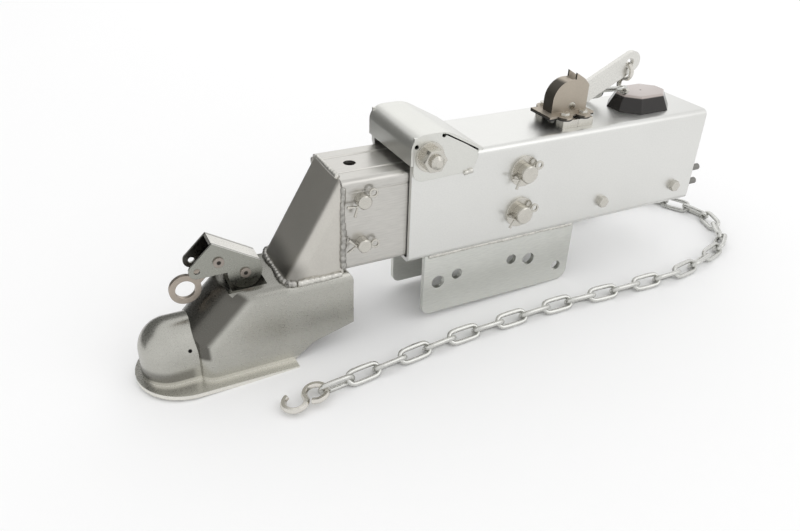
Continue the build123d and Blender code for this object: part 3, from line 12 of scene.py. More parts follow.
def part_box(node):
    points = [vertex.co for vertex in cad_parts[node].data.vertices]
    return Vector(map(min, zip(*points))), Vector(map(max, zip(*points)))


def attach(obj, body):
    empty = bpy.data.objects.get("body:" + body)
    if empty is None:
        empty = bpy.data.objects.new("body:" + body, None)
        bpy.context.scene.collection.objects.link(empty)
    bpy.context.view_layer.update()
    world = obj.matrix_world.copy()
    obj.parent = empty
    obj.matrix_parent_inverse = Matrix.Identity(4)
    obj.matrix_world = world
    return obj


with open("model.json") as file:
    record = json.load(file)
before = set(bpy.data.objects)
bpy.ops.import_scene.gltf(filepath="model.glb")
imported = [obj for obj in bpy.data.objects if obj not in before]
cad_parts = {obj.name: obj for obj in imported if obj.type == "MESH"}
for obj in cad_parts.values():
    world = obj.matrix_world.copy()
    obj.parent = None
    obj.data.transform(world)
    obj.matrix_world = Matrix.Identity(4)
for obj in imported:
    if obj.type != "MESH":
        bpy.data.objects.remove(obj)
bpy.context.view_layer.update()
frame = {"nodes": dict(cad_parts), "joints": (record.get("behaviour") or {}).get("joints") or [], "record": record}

bl_info = {
    "name": "Trailer Brake Actuator Looks",
    "version": (1, 0, 0),
    "blender": (4, 5, 0),
    "location": "3D View > Sidebar > Actuator",
    "description": "Finishes, weld beads, floor, light and camera of a trailer brake actuator",
    "category": "3D View",
}

MM = 0.001
SLOT_OF = {row["node"]: row["material_slot"] for row in frame["record"]["subparts"]}


def box_mm(name):
    """Lowest and highest corner of a CAD node, in millimetres."""
    return [Vector(corner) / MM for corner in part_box(name)]


# Bands of the case's top where its two seam lines show, in millimetres of the part's frame
CASE_TOP = box_mm("outer_case")[1].z
CASE_SEAM_X = (20, 400)
CASE_SEAM_LINES = ((1.6, 2.6), (6.4, 7.4))
CASE_SEAM_Z = (CASE_TOP - 1, CASE_TOP + 5)

# Places of the coupler and its neck with painted shade, a painted highlight and heat tint, in millimetres
SHOULDER_X = (-299, -225)
SHOULDER_Z = (-30, 60)
COUPLER_FOOT_X = (-256, -190)
COUPLER_FOOT_Z = (36, 60)
GROOVE_X = (-370, -300)
GROOVE_Z = (-56, -42)
FLANGE_Z = (-80, -54)
RIM_Z = (-80, -58.5)
NEAR_SIDE_Y = (-60, 0)
SIDE_HOLE = (-302.0, 0.0, -18.0)
SIDE_HOLE_R = 2.2
NECK_HEAT_X = (-205, -172)
NECK_HEAT_Z = (40, 66)

# Skins of the latch's two sides, where shade is painted outside and inside, in millimetres out from its widest
# plane
LATCH_CHEEK = (-1.0, 5.0)
LATCH_INSIDE = (-3.8, -2.2)
RIVET_HOLLOW_R = 2.4

# Band of the filler cap's top with a painted sheen, and its vent hole with painted shade, in millimetres
CAP_LOW, CAP_HIGH = box_mm("filler_cap")
CAP_CENTRE = (CAP_LOW + CAP_HIGH) / 2
CAP_SHEEN_Z = (CAP_HIGH.z - 2.6, CAP_HIGH.z + 5.0)
CAP_VENT_R = 1.2

# Pattern settings that all finishes share
CLOUD_DETAIL = 3.0
GRAIN_DETAIL = 2.0
FLECK_SPAN = (0.3, 0.7)
GLOSS_SPAN = (0.25, 0.75)
GLOSS_SPREAD = 0.06
RELIEF_STRENGTH = 0.5
EDGE_SAMPLES = 4
SPOT_SOFT = 0.4
BELOW_ANY_NORMAL = -2.0

# Facets closer than this many metres are joined before they are shaded
JOIN_GAP = 1e-6

# Form of a weld bead: facets, shares of its size, the power of its dips, then angles in radians
BEAD_SIDES = 12
BEAD_STEPS = 7
BEAD_LUMP = 0.16
BEAD_DIP = 0.18
BEAD_DIP_POWER = 0.6
BEAD_END = 0.3
BEAD_SWAY = 0.10
LUMP_STRIDE = 12.99
LUMP_START = 0.7
SWAY_STRIDE = 7.31

# Beads that differ from the usual width and ripple, as shares of those
THIN_BEAD = 0.8
WIDE_BEAD = 1.1
LONG_RIPPLE = 1.3

# Where the beads lie on the neck, the tongue plates and the guard, in millimetres
NECK_CORNER = 13.0
NECK_CORNER_CUT = 0.3 * NECK_CORNER
NECK_PROUD = 0.4
FOOT_LIFT = 1.0
FOOT_SHORT = 2.0
SIDE_BEAD_FOOT = 7.0
SIDE_BEAD_HEAD = 6.0
PLATE_INSET = 4.0
PLATE_DROP = 1.0
GUARD_TACK_X = (18.0, 30.0)
GUARD_TACK_DROP = (24.0, 22.0)
GUARD_TACK_RIPPLE = 6.0

# Floor in metres: the part lies with its nose low, so the floor slopes in the part's frame
FLOOR_SLOPE = 0.0412
FLOOR_GAP = 0.0006
FLOOR_REST_Z = -0.0438
FLOOR_MIDDLE = Vector((0.2, 0.0, FLOOR_REST_Z - FLOOR_GAP))
FLOOR_REACH = 4.0
FLOOR_ROUGH = 0.9
FLOOR_SHEEN = 0.1

# Soft boxes: name, heading from the part, size in metres, power in watts
LIGHT_TARGET = Vector((0.05, 0.0, 0.06))
LIGHT_DISTANCE = 2.6
SOFTBOXES = (
    ("roof_softbox", (0.40, 0.76, 0.52), 2.2, 4.0),
    ("near_softbox", (0.45, -0.62, 0.64), 1.6, 6.0),
)
ROOM_FILL = 0.98

# Grey card in metres, which only reflections see
CARD_DISTANCE = 0.6
CARD_HEADING = Vector((-0.60, 0.80, 0.0))
CARD_ACROSS = Vector((0.80, 0.60, 0.0))
CARD_ENDS = (-0.65, 0.5)
CARD_HEIGHTS = (-0.06, 0.5)

# Camera fitted to the photograph: angles, place and lens in millimetres, nearest sight in metres
CAMERA_HEADING = math.radians(-27.572)
CAMERA_TILT = math.radians(58.6072)
CAMERA_ROLL = math.radians(1.9607)
CAMERA_SPOT = Vector((-393.99, -696.66, 485.59))
CAMERA_LENS = 33.02
CAMERA_SENSOR = 36.0
CAMERA_CLIP = 0.01


def linear(hex_colour):
    """Turn an sRGB hex colour into linear red, green and blue."""
    channels = [int(hex_colour[i:i + 2], 16) / 255 for i in (1, 3, 5)]
    return tuple(c / 12.92 if c <= 0.04045 else ((c + 0.055) / 1.055) ** 2.4 for c in channels)


def colour_property(name, description, hex_colour):
    """Declare one colour that a user can change."""
    return FloatVectorProperty(name=name, description=description, subtype="COLOR", size=3,
                               min=0.0, max=1.0, default=linear(hex_colour))


class ActuatorFinishes(bpy.types.PropertyGroup):
    """Colours of the actuator's finishes."""

    case: colour_property("Case", "Bright galvanised steel of the outer case", "#DEDEDB")
    slide: colour_property("Slide", "Zinc-plated steel of the slide tube", "#CAC8C3")
    plates: colour_property("Plates", "Blue-grey zinc of the tongue plates", "#DADBD6")
    guard: colour_property("Guard", "Satin zinc of the roller guard", "#DADAD5")
    coupler: colour_property("Coupler", "Dull plating of the ball coupler", "#BDBCB5")
    # Lighter copy of the coupler's plating: painted light on the neck
    neck: colour_property("Neck", "Coupler plating painted lighter on the neck", "#CECBC4")
    # Painted shade, a painted dark reflection, on the coupler's front, foot and groove; also heat tint at the
    # neck's foot
    stain: colour_property("Coupler stain", "Dark places of the coupler and the neck's foot", "#4A4843")
    latch: colour_property("Latch", "Satin plating of the latch, and clouded weld metal", "#DAD8D2")
    # Painted shade on the latch's outer sides
    cheek_shade: colour_property("Latch cheeks", "Painted shade on the sides of the latch", "#8C8D85")
    ring: colour_property("Pull ring", "Bare warm steel of the trigger ring", "#B3A99E")
    # Painted shade inside the latch and on the bracket's front
    shade: colour_property("Painted shade", "Dark inside of the latch and front of the bracket", "#24231F")
    # Painted highlight of the coupler's flange and rim
    rim: colour_property("Flange rim", "Painted highlight on the flange and rim of the coupler", "#EDEBE4")
    weld: colour_property("Weld", "Plated weld metal", "#E8E6DF")
    rivets: colour_property("Rivets", "Plain warm grey steel of the latch rivets", "#A89F97")
    fasteners: colour_property("Fasteners", "Warm nickel plate of bolts, pins and nuts", "#CECBC3")
    inner: colour_property("Inner parts", "Plain turned steel inside the case", "#8B8B88")
    casting: colour_property("Casting", "Cast iron of the master cylinder", "#55565A")
    fittings: colour_property("Fittings", "Matte grey steel of the rear fittings", "#8F8E8A")
    cap_side: colour_property("Cap side", "Dark brown rubber of the filler cap", "#1C1815")
    # Painted sheen that makes the cap's top pale
    cap_top_sheen: colour_property("Cap top", "Painted sheen on the top of the filler cap", "#B5ABA6")
    bracket: colour_property("Bracket", "Warm matte steel of the lever bracket", "#BEB5A8")
    # Black rubber, also used as painted shade in small holes
    gasket: colour_property("Gasket", "Black rubber under the bracket, and painted shade in small holes", "#151515")
    lever: colour_property("Lever", "Pale speckled zinc of the emergency lever", "#DCDBD6")
    hooks: colour_property("Hooks", "Glossy nickel of the hooks", "#D9D6CF")
    chain: colour_property("Chain", "Bright zinc of the breakaway chain", "#D6D6D2")
    floor: colour_property("Floor", "Pale studio floor", "#FAFAFA")
    card: colour_property("Card", "Grey felt of the card that shades front faces", "#777775")


class ActuatorSizes(bpy.types.PropertyGroup):
    """Sizes that the looks use."""

    edge_round: FloatProperty(name="Edge round", description="Radius that catches light along cut edges",
                              default=0.7 * MM, unit="LENGTH")
    smooth_angle: FloatProperty(name="Smooth angle", description="Sharpest fold that still shades smooth",
                                default=math.radians(32), subtype="ANGLE")
    bead_width: FloatProperty(name="Bead width", description="Width of a weld bead",
                              default=7.0 * MM, unit="LENGTH")
    bead_pitch: FloatProperty(name="Bead ripple", description="Length of one ripple of a weld bead",
                              default=6.5 * MM, unit="LENGTH")
    wire_swell: FloatProperty(name="Wire swell", description="Thickness added all round the chain's wire",
                              default=0.55 * MM, unit="LENGTH")
    hook_swell: FloatProperty(name="Hook swell", description="Thickness added all round the end hook's rod",
                              default=0.7 * MM, unit="LENGTH")
    cap_angle: FloatProperty(name="Cap angle", description="Sharpest fold of the cap that shades smooth",
                             default=math.radians(52), subtype="ANGLE")
    chain_rounds: IntProperty(name="Chain rounding", description="Subdivisions that round the chain's wire",
                              default=2, min=0, max=3)


def node(tree, kind, inputs=None, **settings):
    """Add one node, set its properties, and set or link its inputs."""
    made = tree.nodes.new(kind)
    for key, value in settings.items():
        setattr(made, key, value)
    for key, value in (inputs or {}).items():
        if isinstance(value, bpy.types.NodeSocket):
            tree.links.new(value, made.inputs[key])
        else:
            made.inputs[key].default_value = value
    return made


def rgba(colour):
    """Give a colour an alpha of one."""
    return (*colour, 1.0)


def per_metre(size_mm):
    """Scale of a pattern whose features are this many millimetres across."""
    return 1.0 / (size_mm * MM)


def surface(name, colour, rough, cloud_mm=70.0, grain_mm=1.6, cloudy=0.10, grainy=0.06, relief_mm=0.03,
            stretch=(1.0, 1.0, 1.0), metallic=1.0):
    """Make a finish with slow clouding, fine grain and lightly rounded edges."""
    material = bpy.data.materials.new(name)
    material.use_nodes = True
    tree = material.node_tree
    shader = tree.nodes["Principled BSDF"]
    sizes = bpy.context.scene.actuator_sizes
    place = node(tree, "ShaderNodeTexCoord")
    drawn = node(tree, "ShaderNodeMapping", {"Vector": place.outputs["Object"], "Scale": stretch})
    cloud = node(tree, "ShaderNodeTexNoise", {"Vector": place.outputs["Object"],
                                              "Scale": per_metre(cloud_mm), "Detail": CLOUD_DETAIL})
    grain = node(tree, "ShaderNodeTexNoise", {"Vector": drawn.outputs["Vector"],
                                              "Scale": per_metre(grain_mm), "Detail": GRAIN_DETAIL})
    # The clouds stay near the middle of their range, so the dim end lies twice as far down
    dim = tuple(c * (1.0 - 2.0 * cloudy) for c in colour)
    tone = node(tree, "ShaderNodeMix", {"Factor": cloud.outputs["Fac"], "A": rgba(colour), "B": rgba(dim)},
                data_type="RGBA")
    fleck = node(tree, "ShaderNodeMapRange", {"Value": grain.outputs["Fac"],
                                              "From Min": FLECK_SPAN[0], "From Max": FLECK_SPAN[1],
                                              "To Min": 1.0 - grainy, "To Max": 1.0 + grainy})
    worn = node(tree, "ShaderNodeVectorMath", {0: tone.outputs[2], 1: fleck.outputs["Result"]},
                operation="MULTIPLY")
    gloss = node(tree, "ShaderNodeMapRange", {"Value": grain.outputs["Fac"],
                                              "From Min": GLOSS_SPAN[0], "From Max": GLOSS_SPAN[1],
                                              "To Min": rough - GLOSS_SPREAD,
                                              "To Max": rough + GLOSS_SPREAD})
    edge = node(tree, "ShaderNodeBevel", {"Radius": sizes.edge_round}, samples=EDGE_SAMPLES)
    bump = node(tree, "ShaderNodeBump", {"Height": grain.outputs["Fac"], "Strength": RELIEF_STRENGTH,
                                         "Distance": relief_mm * MM, "Normal": edge.outputs["Normal"]})
    shader.inputs["Metallic"].default_value = metallic
    tree.links.new(worn.outputs["Vector"], shader.inputs["Base Color"])
    tree.links.new(gloss.outputs["Result"], shader.inputs["Roughness"])
    tree.links.new(bump.outputs["Normal"], shader.inputs["Normal"])
    return material


def between(tree, value, low, high, soft):
    """Mask that is one where a value lies between two limits, with soft ends."""
    rise = node(tree, "ShaderNodeMapRange", {"Value": value, "From Min": low - soft, "From Max": low + soft},
                interpolation_type="SMOOTHSTEP")
    fall = node(tree, "ShaderNodeMapRange",
                {"Value": value, "From Min": high - soft, "From Max": high + soft,
                 "To Min": 1.0, "To Max": 0.0}, interpolation_type="SMOOTHSTEP")
    return node(tree, "ShaderNodeMath", {0: rise.outputs["Result"], 1: fall.outputs["Result"]},
                operation="MULTIPLY").outputs["Value"]


def region(tree, x=None, y=None, z=None, soft_mm=2.0):
    """Mask of a box in the part's own millimetres."""
    place = node(tree, "ShaderNodeTexCoord")
    axes = node(tree, "ShaderNodeSeparateXYZ", {"Vector": place.outputs["Object"]})
    mask = None
    for axis, limits in (("X", x), ("Y", y), ("Z", z)):
        if limits is None:
            continue
        one = between(tree, axes.outputs[axis], limits[0] * MM, limits[1] * MM, soft_mm * MM)
        if mask is not None:
            one = node(tree, "ShaderNodeMath", {0: mask, 1: one}, operation="MULTIPLY").outputs["Value"]
        mask = one
    return mask


def front_faces(tree, lean, soft):
    """Mask of the faces that look forward, along -X, by more than a lean."""
    facing = node(tree, "ShaderNodeTexCoord")
    turned = node(tree, "ShaderNodeSeparateXYZ", {"Vector": facing.outputs["Normal"]})
    return between(tree, turned.outputs["X"], BELOW_ANY_NORMAL, -lean, soft)


def disc(tree, centre_mm, radius_mm, flat=(1.0, 0.0, 1.0)):
    """Mask of a round spot, seen along the axis that flat leaves out."""
    place = node(tree, "ShaderNodeTexCoord")
    pressed = node(tree, "ShaderNodeVectorMath", {0: place.outputs["Object"], 1: flat}, operation="MULTIPLY")
    centre = tuple(c * f * MM for c, f in zip(centre_mm, flat))
    away = node(tree, "ShaderNodeVectorMath", {0: pressed.outputs["Vector"], 1: centre},
                operation="DISTANCE")
    spot = node(tree, "ShaderNodeMapRange", {"Value": away.outputs["Value"],
                                             "From Min": (radius_mm - SPOT_SOFT) * MM,
                                             "From Max": (radius_mm + SPOT_SOFT) * MM,
                                             "To Min": 1.0, "To Max": 0.0})
    return spot.outputs["Result"]


def joint_point(name):
    """Point in millimetres that a joint turns about."""
    for joint in frame["joints"]:
        if joint["name"] == name:
            return [c / MM for c in joint["pos_m"]]
    raise RuntimeError(f"the frame has no joint {name}")


def stain(material, mask, colour, amount=1.0):
    """Lay a second colour over a finish where a mask is one."""
    tree = material.node_tree
    shader = tree.nodes["Principled BSDF"]
    under = shader.inputs["Base Color"].links[0].from_socket
    part = node(tree, "ShaderNodeMath", {0: mask, 1: amount}, operation="MULTIPLY")
    over = node(tree, "ShaderNodeMix", {"Factor": part.outputs["Value"], "A": under, "B": rgba(colour)},
                data_type="RGBA")
    tree.links.new(over.outputs[2], shader.inputs["Base Color"])


def smooth_group(angle):
    """Make the modifier that shades rolled faces smooth and keeps folds sharp."""
    name = f"smooth_under_{math.degrees(angle):.0f}"
    group = bpy.data.node_groups.get(name)
    if group:
        return group
    group = bpy.data.node_groups.new(name, "GeometryNodeTree")
    group.interface.new_socket("Geometry", in_out="INPUT", socket_type="NodeSocketGeometry")
    group.interface.new_socket("Geometry", in_out="OUTPUT", socket_type="NodeSocketGeometry")
    source = node(group, "NodeGroupInput")
    bare = node(group, "GeometryNodeRemoveAttribute",
                {"Geometry": source.outputs[0], "Name": "custom_normal"})
    fold = node(group, "GeometryNodeInputMeshEdgeAngle")
    soft = node(group, "FunctionNodeCompare", {0: fold.outputs["Unsigned Angle"], 1: angle},
                operation="LESS_EQUAL")
    faces = node(group, "GeometryNodeSetShadeSmooth", {"Geometry": bare.outputs[0], "Shade Smooth": True},
                 domain="FACE")
    edges = node(group, "GeometryNodeSetShadeSmooth",
                 {"Geometry": faces.outputs[0], "Shade Smooth": soft.outputs["Result"]}, domain="EDGE")
    node(group, "NodeGroupOutput", {0: edges.outputs[0]})
    return group


def dress(material, *names, angle=None):
    """Give CAD nodes a finish and smooth shading."""
    fold = angle or bpy.context.scene.actuator_sizes.smooth_angle
    for name in names:
        if name not in frame["nodes"]:
            raise RuntimeError(f"the frame has no node {name}")
        obj = frame["nodes"][name]
        obj.data.materials.clear()
        obj.data.materials.append(material)
        join = obj.modifiers.new("join_facets", "WELD")
        join.merge_threshold = JOIN_GAP
        shade = obj.modifiers.new("smooth_faces", "NODES")
        shade.node_group = smooth_group(fold)


def swell(obj, amount):
    """Thicken a rod along its normals, where the photograph shows it thicker than the solid."""
    grow = obj.modifiers.new("thicker_rod", "DISPLACE")
    grow.mid_level = 0.0
    grow.strength = amount


def slot_nodes(slot):
    """Names of the CAD nodes that share a material slot."""
    return [name for name, own in SLOT_OF.items() if own == slot]


class ACTUATOR_OT_case(bpy.types.Operator):
    """Finish the outer case, the tongue plates and the roller guard"""

    bl_idname = "actuator.case"
    bl_label = "Case and plates"

    def execute(self, context):
        colours = context.scene.actuator_finishes
        # Hot-rolled steel with bright zinc: pale, soft reflections with slow clouding
        case = surface("bright_zinc_sheet", colours.case, rough=0.36, cloud_mm=90, cloudy=0.03, grainy=0.03)
        for line in CASE_SEAM_LINES:
            seam = region(case.node_tree, x=CASE_SEAM_X, y=line, z=CASE_SEAM_Z, soft_mm=0.3)
            stain(case, seam, colours.plates, amount=0.55)
        dress(case, *slot_nodes("case_zinc"))
        # Thick plate with blue-grey zinc: duller, with rolling grain along its length
        plates = surface("blue_zinc_plate", colours.plates, rough=0.42, grain_mm=1.2, cloudy=0.05,
                         grainy=0.06, stretch=(0.12, 1.0, 1.0))
        dress(plates, *slot_nodes("plate_zinc"))
        # Folded sheet with satin zinc: even and slightly warmer
        guard = surface("satin_zinc_sheet", colours.guard, rough=0.34, cloudy=0.05, grainy=0.03)
        dress(guard, *slot_nodes("guard_zinc"))
        return {"FINISHED"}


class ACTUATOR_OT_slide(bpy.types.Operator):
    """Finish the slide tube"""

    bl_idname = "actuator.slide"
    bl_label = "Slide"

    def execute(self, context):
        colours = context.scene.actuator_finishes
        # Rolled tube with brushed zinc: fine lines along its length, drawn coarse enough to show
        slide = surface("brushed_zinc_tube", colours.slide, rough=0.33, grain_mm=0.9, cloudy=0.06,
                        grainy=0.07, stretch=(0.06, 1.0, 1.0))
        dress(slide, *slot_nodes("slide_zinc"))
        return {"FINISHED"}


class ACTUATOR_OT_coupler(bpy.types.Operator):
    """Finish the ball coupler, its neck and its clamp"""

    bl_idname = "actuator.coupler"
    bl_label = "Coupler"

    def execute(self, context):
        colours = context.scene.actuator_finishes
        # Pressed steel with dull plating: mottled grey, with painted shade on its slanted front and a painted
        # highlight on its flange
        coupler = surface("dull_plated_pressing", colours.coupler, rough=0.30, cloud_mm=45, cloudy=0.10,
                          grainy=0.05)
        tree = coupler.node_tree
        # Painted shade: a dark reflection painted on the shoulder's slanted front faces
        slanted = front_faces(tree, lean=0.3, soft=0.1)
        shoulder = region(tree, x=SHOULDER_X, z=SHOULDER_Z, soft_mm=3)
        front = node(tree, "ShaderNodeMath", {0: shoulder, 1: slanted}, operation="MULTIPLY")
        stain(coupler, front.outputs["Value"], colours.stain, amount=0.85)
        # Painted shade: a dark reflection painted on the shell's top beside the neck's foot
        foot = region(tree, x=COUPLER_FOOT_X, z=COUPLER_FOOT_Z, soft_mm=6)
        stain(coupler, foot, colours.stain, amount=0.4)
        # Painted shade in the groove beside the flange
        stain(coupler, region(tree, x=GROOVE_X, z=GROOVE_Z, soft_mm=4), colours.stain, amount=0.55)
        # Painted highlight on the flange, brighter on its rim
        stain(coupler, region(tree, z=FLANGE_Z, soft_mm=1), colours.rim, amount=0.5)
        stain(coupler, region(tree, z=RIM_Z, soft_mm=1), colours.rim, amount=0.8)
        # Painted shade in a small hole on the near side
        hole = disc(tree, SIDE_HOLE, SIDE_HOLE_R)
        near = region(tree, y=NEAR_SIDE_Y, soft_mm=1)
        near_hole = node(tree, "ShaderNodeMath", {0: hole, 1: near}, operation="MULTIPLY")
        stain(coupler, near_hole.outputs["Value"], colours.gasket)
        dress(coupler, *(name for name in slot_nodes("coupler_plated") if name != "neck"))
        # Folded sheet of the neck: a lighter copy of the coupler's plating, which is painted light, brown along
        # the weld at its foot
        neck = surface("plated_neck_sheet", colours.neck, rough=0.38, cloud_mm=50, cloudy=0.07, grainy=0.04)
        heat = region(neck.node_tree, x=NECK_HEAT_X, z=NECK_HEAT_Z, soft_mm=10)
        stain(neck, heat, colours.stain, amount=0.6)
        dress(neck, "neck")
        return {"FINISHED"}


class ACTUATOR_OT_latch(bpy.types.Operator):
    """Finish the latch, its trigger and its rivets"""

    bl_idname = "actuator.latch"
    bl_label = "Latch"

    def execute(self, context):
        colours = context.scene.actuator_finishes
        # Stamped steel with satin plating: bright on top, with painted shade on its sides and darker painted shade
        # inside
        latch = surface("satin_plated_stamping", colours.latch, rough=0.30, cloudy=0.06, grainy=0.04)
        half = box_mm("latch_lever")[1].y
        # Painted shade on the outer sides, and darker painted shade inside
        for skin, soft, colour, amount in (
            (LATCH_CHEEK, 0.5, colours.cheek_shade, 0.85),
            (LATCH_INSIDE, 0.3, colours.shade, 0.9),
        ):
            for side in (-1, 1):
                band = sorted(side * (half + depth) for depth in skin)
                stain(latch, region(latch.node_tree, y=band, soft_mm=soft), colour, amount)
        dress(latch, "latch_lever")
        # Bare stamped steel: warm grey, rubbed by fingers
        ring = surface("bare_ring_steel", colours.ring, rough=0.36, cloud_mm=18, cloudy=0.08)
        dress(ring, "trigger_ring")
        # Plain rivets with hollow heads: warm grey from handling
        rivets = surface("plain_rivet_steel", colours.rivets, rough=0.35, cloud_mm=8, cloudy=0.12)
        # Painted shade in the hollow of each rivet's head
        for pivot in ("latch_lift", "trigger_pull"):
            hollow = disc(rivets.node_tree, joint_point(pivot), RIVET_HOLLOW_R)
            stain(rivets, hollow, colours.gasket, amount=0.9)
        dress(rivets, *slot_nodes("rivet_steel"))
        return {"FINISHED"}


class ACTUATOR_OT_fasteners(bpy.types.Operator):
    """Finish the bolts, pins, nuts and washers"""

    bl_idname = "actuator.fasteners"
    bl_label = "Fasteners"

    def execute(self, context):
        colours = context.scene.actuator_finishes
        # Turned and plated steel: clean, sharp highlights
        fasteners = surface("nickel_plated_steel", colours.fasteners, rough=0.24, cloud_mm=14, cloudy=0.08,
                            grainy=0.03)
        dress(fasteners, *slot_nodes("nickel_fastener"))
        return {"FINISHED"}


class ACTUATOR_OT_inside(bpy.types.Operator):
    """Finish the rollers, push bar, damper, master cylinder and rear fittings"""

    bl_idname = "actuator.inside"
    bl_label = "Inner parts"

    def execute(self, context):
        colours = context.scene.actuator_finishes
        # Plain turned steel: mid grey, lightly clouded
        inner = surface("plain_turned_steel", colours.inner, rough=0.35, cloud_mm=25)
        dress(inner, *slot_nodes("roller_steel"), *slot_nodes("bar_steel"), *slot_nodes("piston_alloy"))
        # Sand-cast iron: dark with a coarse skin
        casting = surface("sand_cast_iron", colours.casting, rough=0.62, grain_mm=2.2, grainy=0.12,
                          relief_mm=0.25, metallic=0.6)
        dress(casting, *slot_nodes("casting"))
        # Machined fittings: matte grey
        fittings = surface("matte_fitting_steel", colours.fittings, rough=0.5, cloud_mm=12)
        dress(fittings, *slot_nodes("fitting_steel"))
        return {"FINISHED"}


class ACTUATOR_OT_cap(bpy.types.Operator):
    """Finish the filler cap and the bracket's gasket"""

    bl_idname = "actuator.cap"
    bl_label = "Filler cap"

    def execute(self, context):
        colours = context.scene.actuator_finishes
        # Moulded rubber: glossy and dark, with a painted sheen that makes the top pale, and painted shade in its
        # small vent hole
        rubber = surface("moulded_brown_rubber", colours.cap_side, rough=0.20, cloud_mm=20, grain_mm=2.0,
                         grainy=0.03, relief_mm=0.02, metallic=0.0)
        # Painted sheen: the top band is painted pale
        stain(rubber, region(rubber.node_tree, z=CAP_SHEEN_Z, soft_mm=0.8), colours.cap_top_sheen)
        # Painted shade in the vent hole
        vent = disc(rubber.node_tree, CAP_CENTRE, CAP_VENT_R, flat=(1.0, 1.0, 0.0))
        stain(rubber, vent, colours.gasket)
        dress(rubber, *slot_nodes("cap_rubber"), angle=context.scene.actuator_sizes.cap_angle)
        # Flat rubber sheet: black and matte
        gasket = surface("black_rubber_sheet", colours.gasket, rough=0.55, metallic=0.0)
        dress(gasket, *slot_nodes("gasket_rubber"))
        return {"FINISHED"}


class ACTUATOR_OT_lever(bpy.types.Operator):
    """Finish the emergency lever, its bracket and the hooks"""

    bl_idname = "actuator.lever"
    bl_label = "Emergency lever"

    def execute(self, context):
        colours = context.scene.actuator_finishes
        # Heavy strip with pale zinc: speckled
        lever = surface("speckled_zinc_strip", colours.lever, rough=0.36, grain_mm=1.4, cloudy=0.04,
                        grainy=0.12)
        dress(lever, *slot_nodes("lever_zinc"))
        # Folded steel with a warm matte passivate, with painted shade on the faces that look forward
        bracket = surface("matte_passivated_steel", colours.bracket, rough=0.55, cloudy=0.08, grainy=0.06)
        stain(bracket, front_faces(bracket.node_tree, lean=0.35, soft=0.15), colours.shade, amount=0.85)
        dress(bracket, *slot_nodes("bracket_steel"))
        # Bent rod with bright nickel: near mirror
        hooks = surface("bright_nickel_rod", colours.hooks, rough=0.16, cloud_mm=12, cloudy=0.05,
                        grainy=0.02)
        dress(hooks, *slot_nodes("hook_nickel"))
        swell(frame["nodes"]["chain_hook"], context.scene.actuator_sizes.hook_swell)
        return {"FINISHED"}


class ACTUATOR_OT_chain(bpy.types.Operator):
    """Finish the breakaway chain"""

    bl_idname = "actuator.chain"
    bl_label = "Breakaway chain"

    def execute(self, context):
        colours = context.scene.actuator_finishes
        sizes = context.scene.actuator_sizes
        # Bent and welded wire with bright zinc: round, with soft clouding
        chain = surface("bright_zinc_wire", colours.chain, rough=0.28, cloud_mm=10, cloudy=0.10, grainy=0.04)
        dress(chain, "breakaway_chain")
        links = frame["nodes"]["breakaway_chain"]
        rounding = links.modifiers.new("round_wire", "SUBSURF")
        rounding.levels = sizes.chain_rounds
        rounding.render_levels = sizes.chain_rounds
        swell(links, sizes.wire_swell)
        return {"FINISHED"}


def weld_bead(name, points_mm, width_mm, ripple_mm, body, material):
    """Lay a bead of overlapping weld nuggets along a line and fix it to a body."""
    points = [Vector(p) * MM for p in points_mm]
    runs = [(b - a).length for a, b in zip(points, points[1:])]
    whole = sum(runs)
    nuggets = max(2, round(whole / (ripple_mm * MM)))
    steps = nuggets * BEAD_STEPS
    width = width_mm * MM
    build = bmesh.new()
    rings = []
    for i in range(steps + 1):
        rest = whole * i / steps
        k = 0
        while k < len(runs) - 1 and rest > runs[k]:
            rest -= runs[k]
            k += 1
        run = (points[k + 1] - points[k]).normalized()
        side = run.orthogonal().normalized()
        up = run.cross(side)
        nugget, phase = divmod(i, BEAD_STEPS)
        lump = 1.0 + BEAD_LUMP * math.sin(LUMP_STRIDE * nugget + LUMP_START)
        swell_up = math.sin(math.pi * phase / BEAD_STEPS) ** BEAD_DIP_POWER
        share = BEAD_END if i in (0, steps) else lump * (1.0 - BEAD_DIP + BEAD_DIP * swell_up)
        radius = width / 2 * share
        sway = width * BEAD_SWAY * math.sin(SWAY_STRIDE * nugget)
        centre = points[k] + run * rest + up * sway
        ring = []
        for j in range(BEAD_SIDES):
            turn = 2 * math.pi * j / BEAD_SIDES
            ring.append(build.verts.new(centre + (side * math.cos(turn) + up * math.sin(turn)) * radius))
        rings.append(ring)
    for a, b in zip(rings, rings[1:]):
        for j in range(BEAD_SIDES):
            build.faces.new((a[j], a[(j + 1) % BEAD_SIDES], b[(j + 1) % BEAD_SIDES], b[j]))
    build.faces.new(list(reversed(rings[0])))
    build.faces.new(rings[-1])
    bmesh.ops.recalc_face_normals(build, faces=build.faces)
    mesh = bpy.data.meshes.new(name)
    build.to_mesh(mesh)
    build.free()
    for face in mesh.polygons:
        face.use_smooth = True
    obj = bpy.data.objects.new(name, mesh)
    bpy.context.scene.collection.objects.link(obj)
    mesh.materials.append(material)
    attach(obj, body)


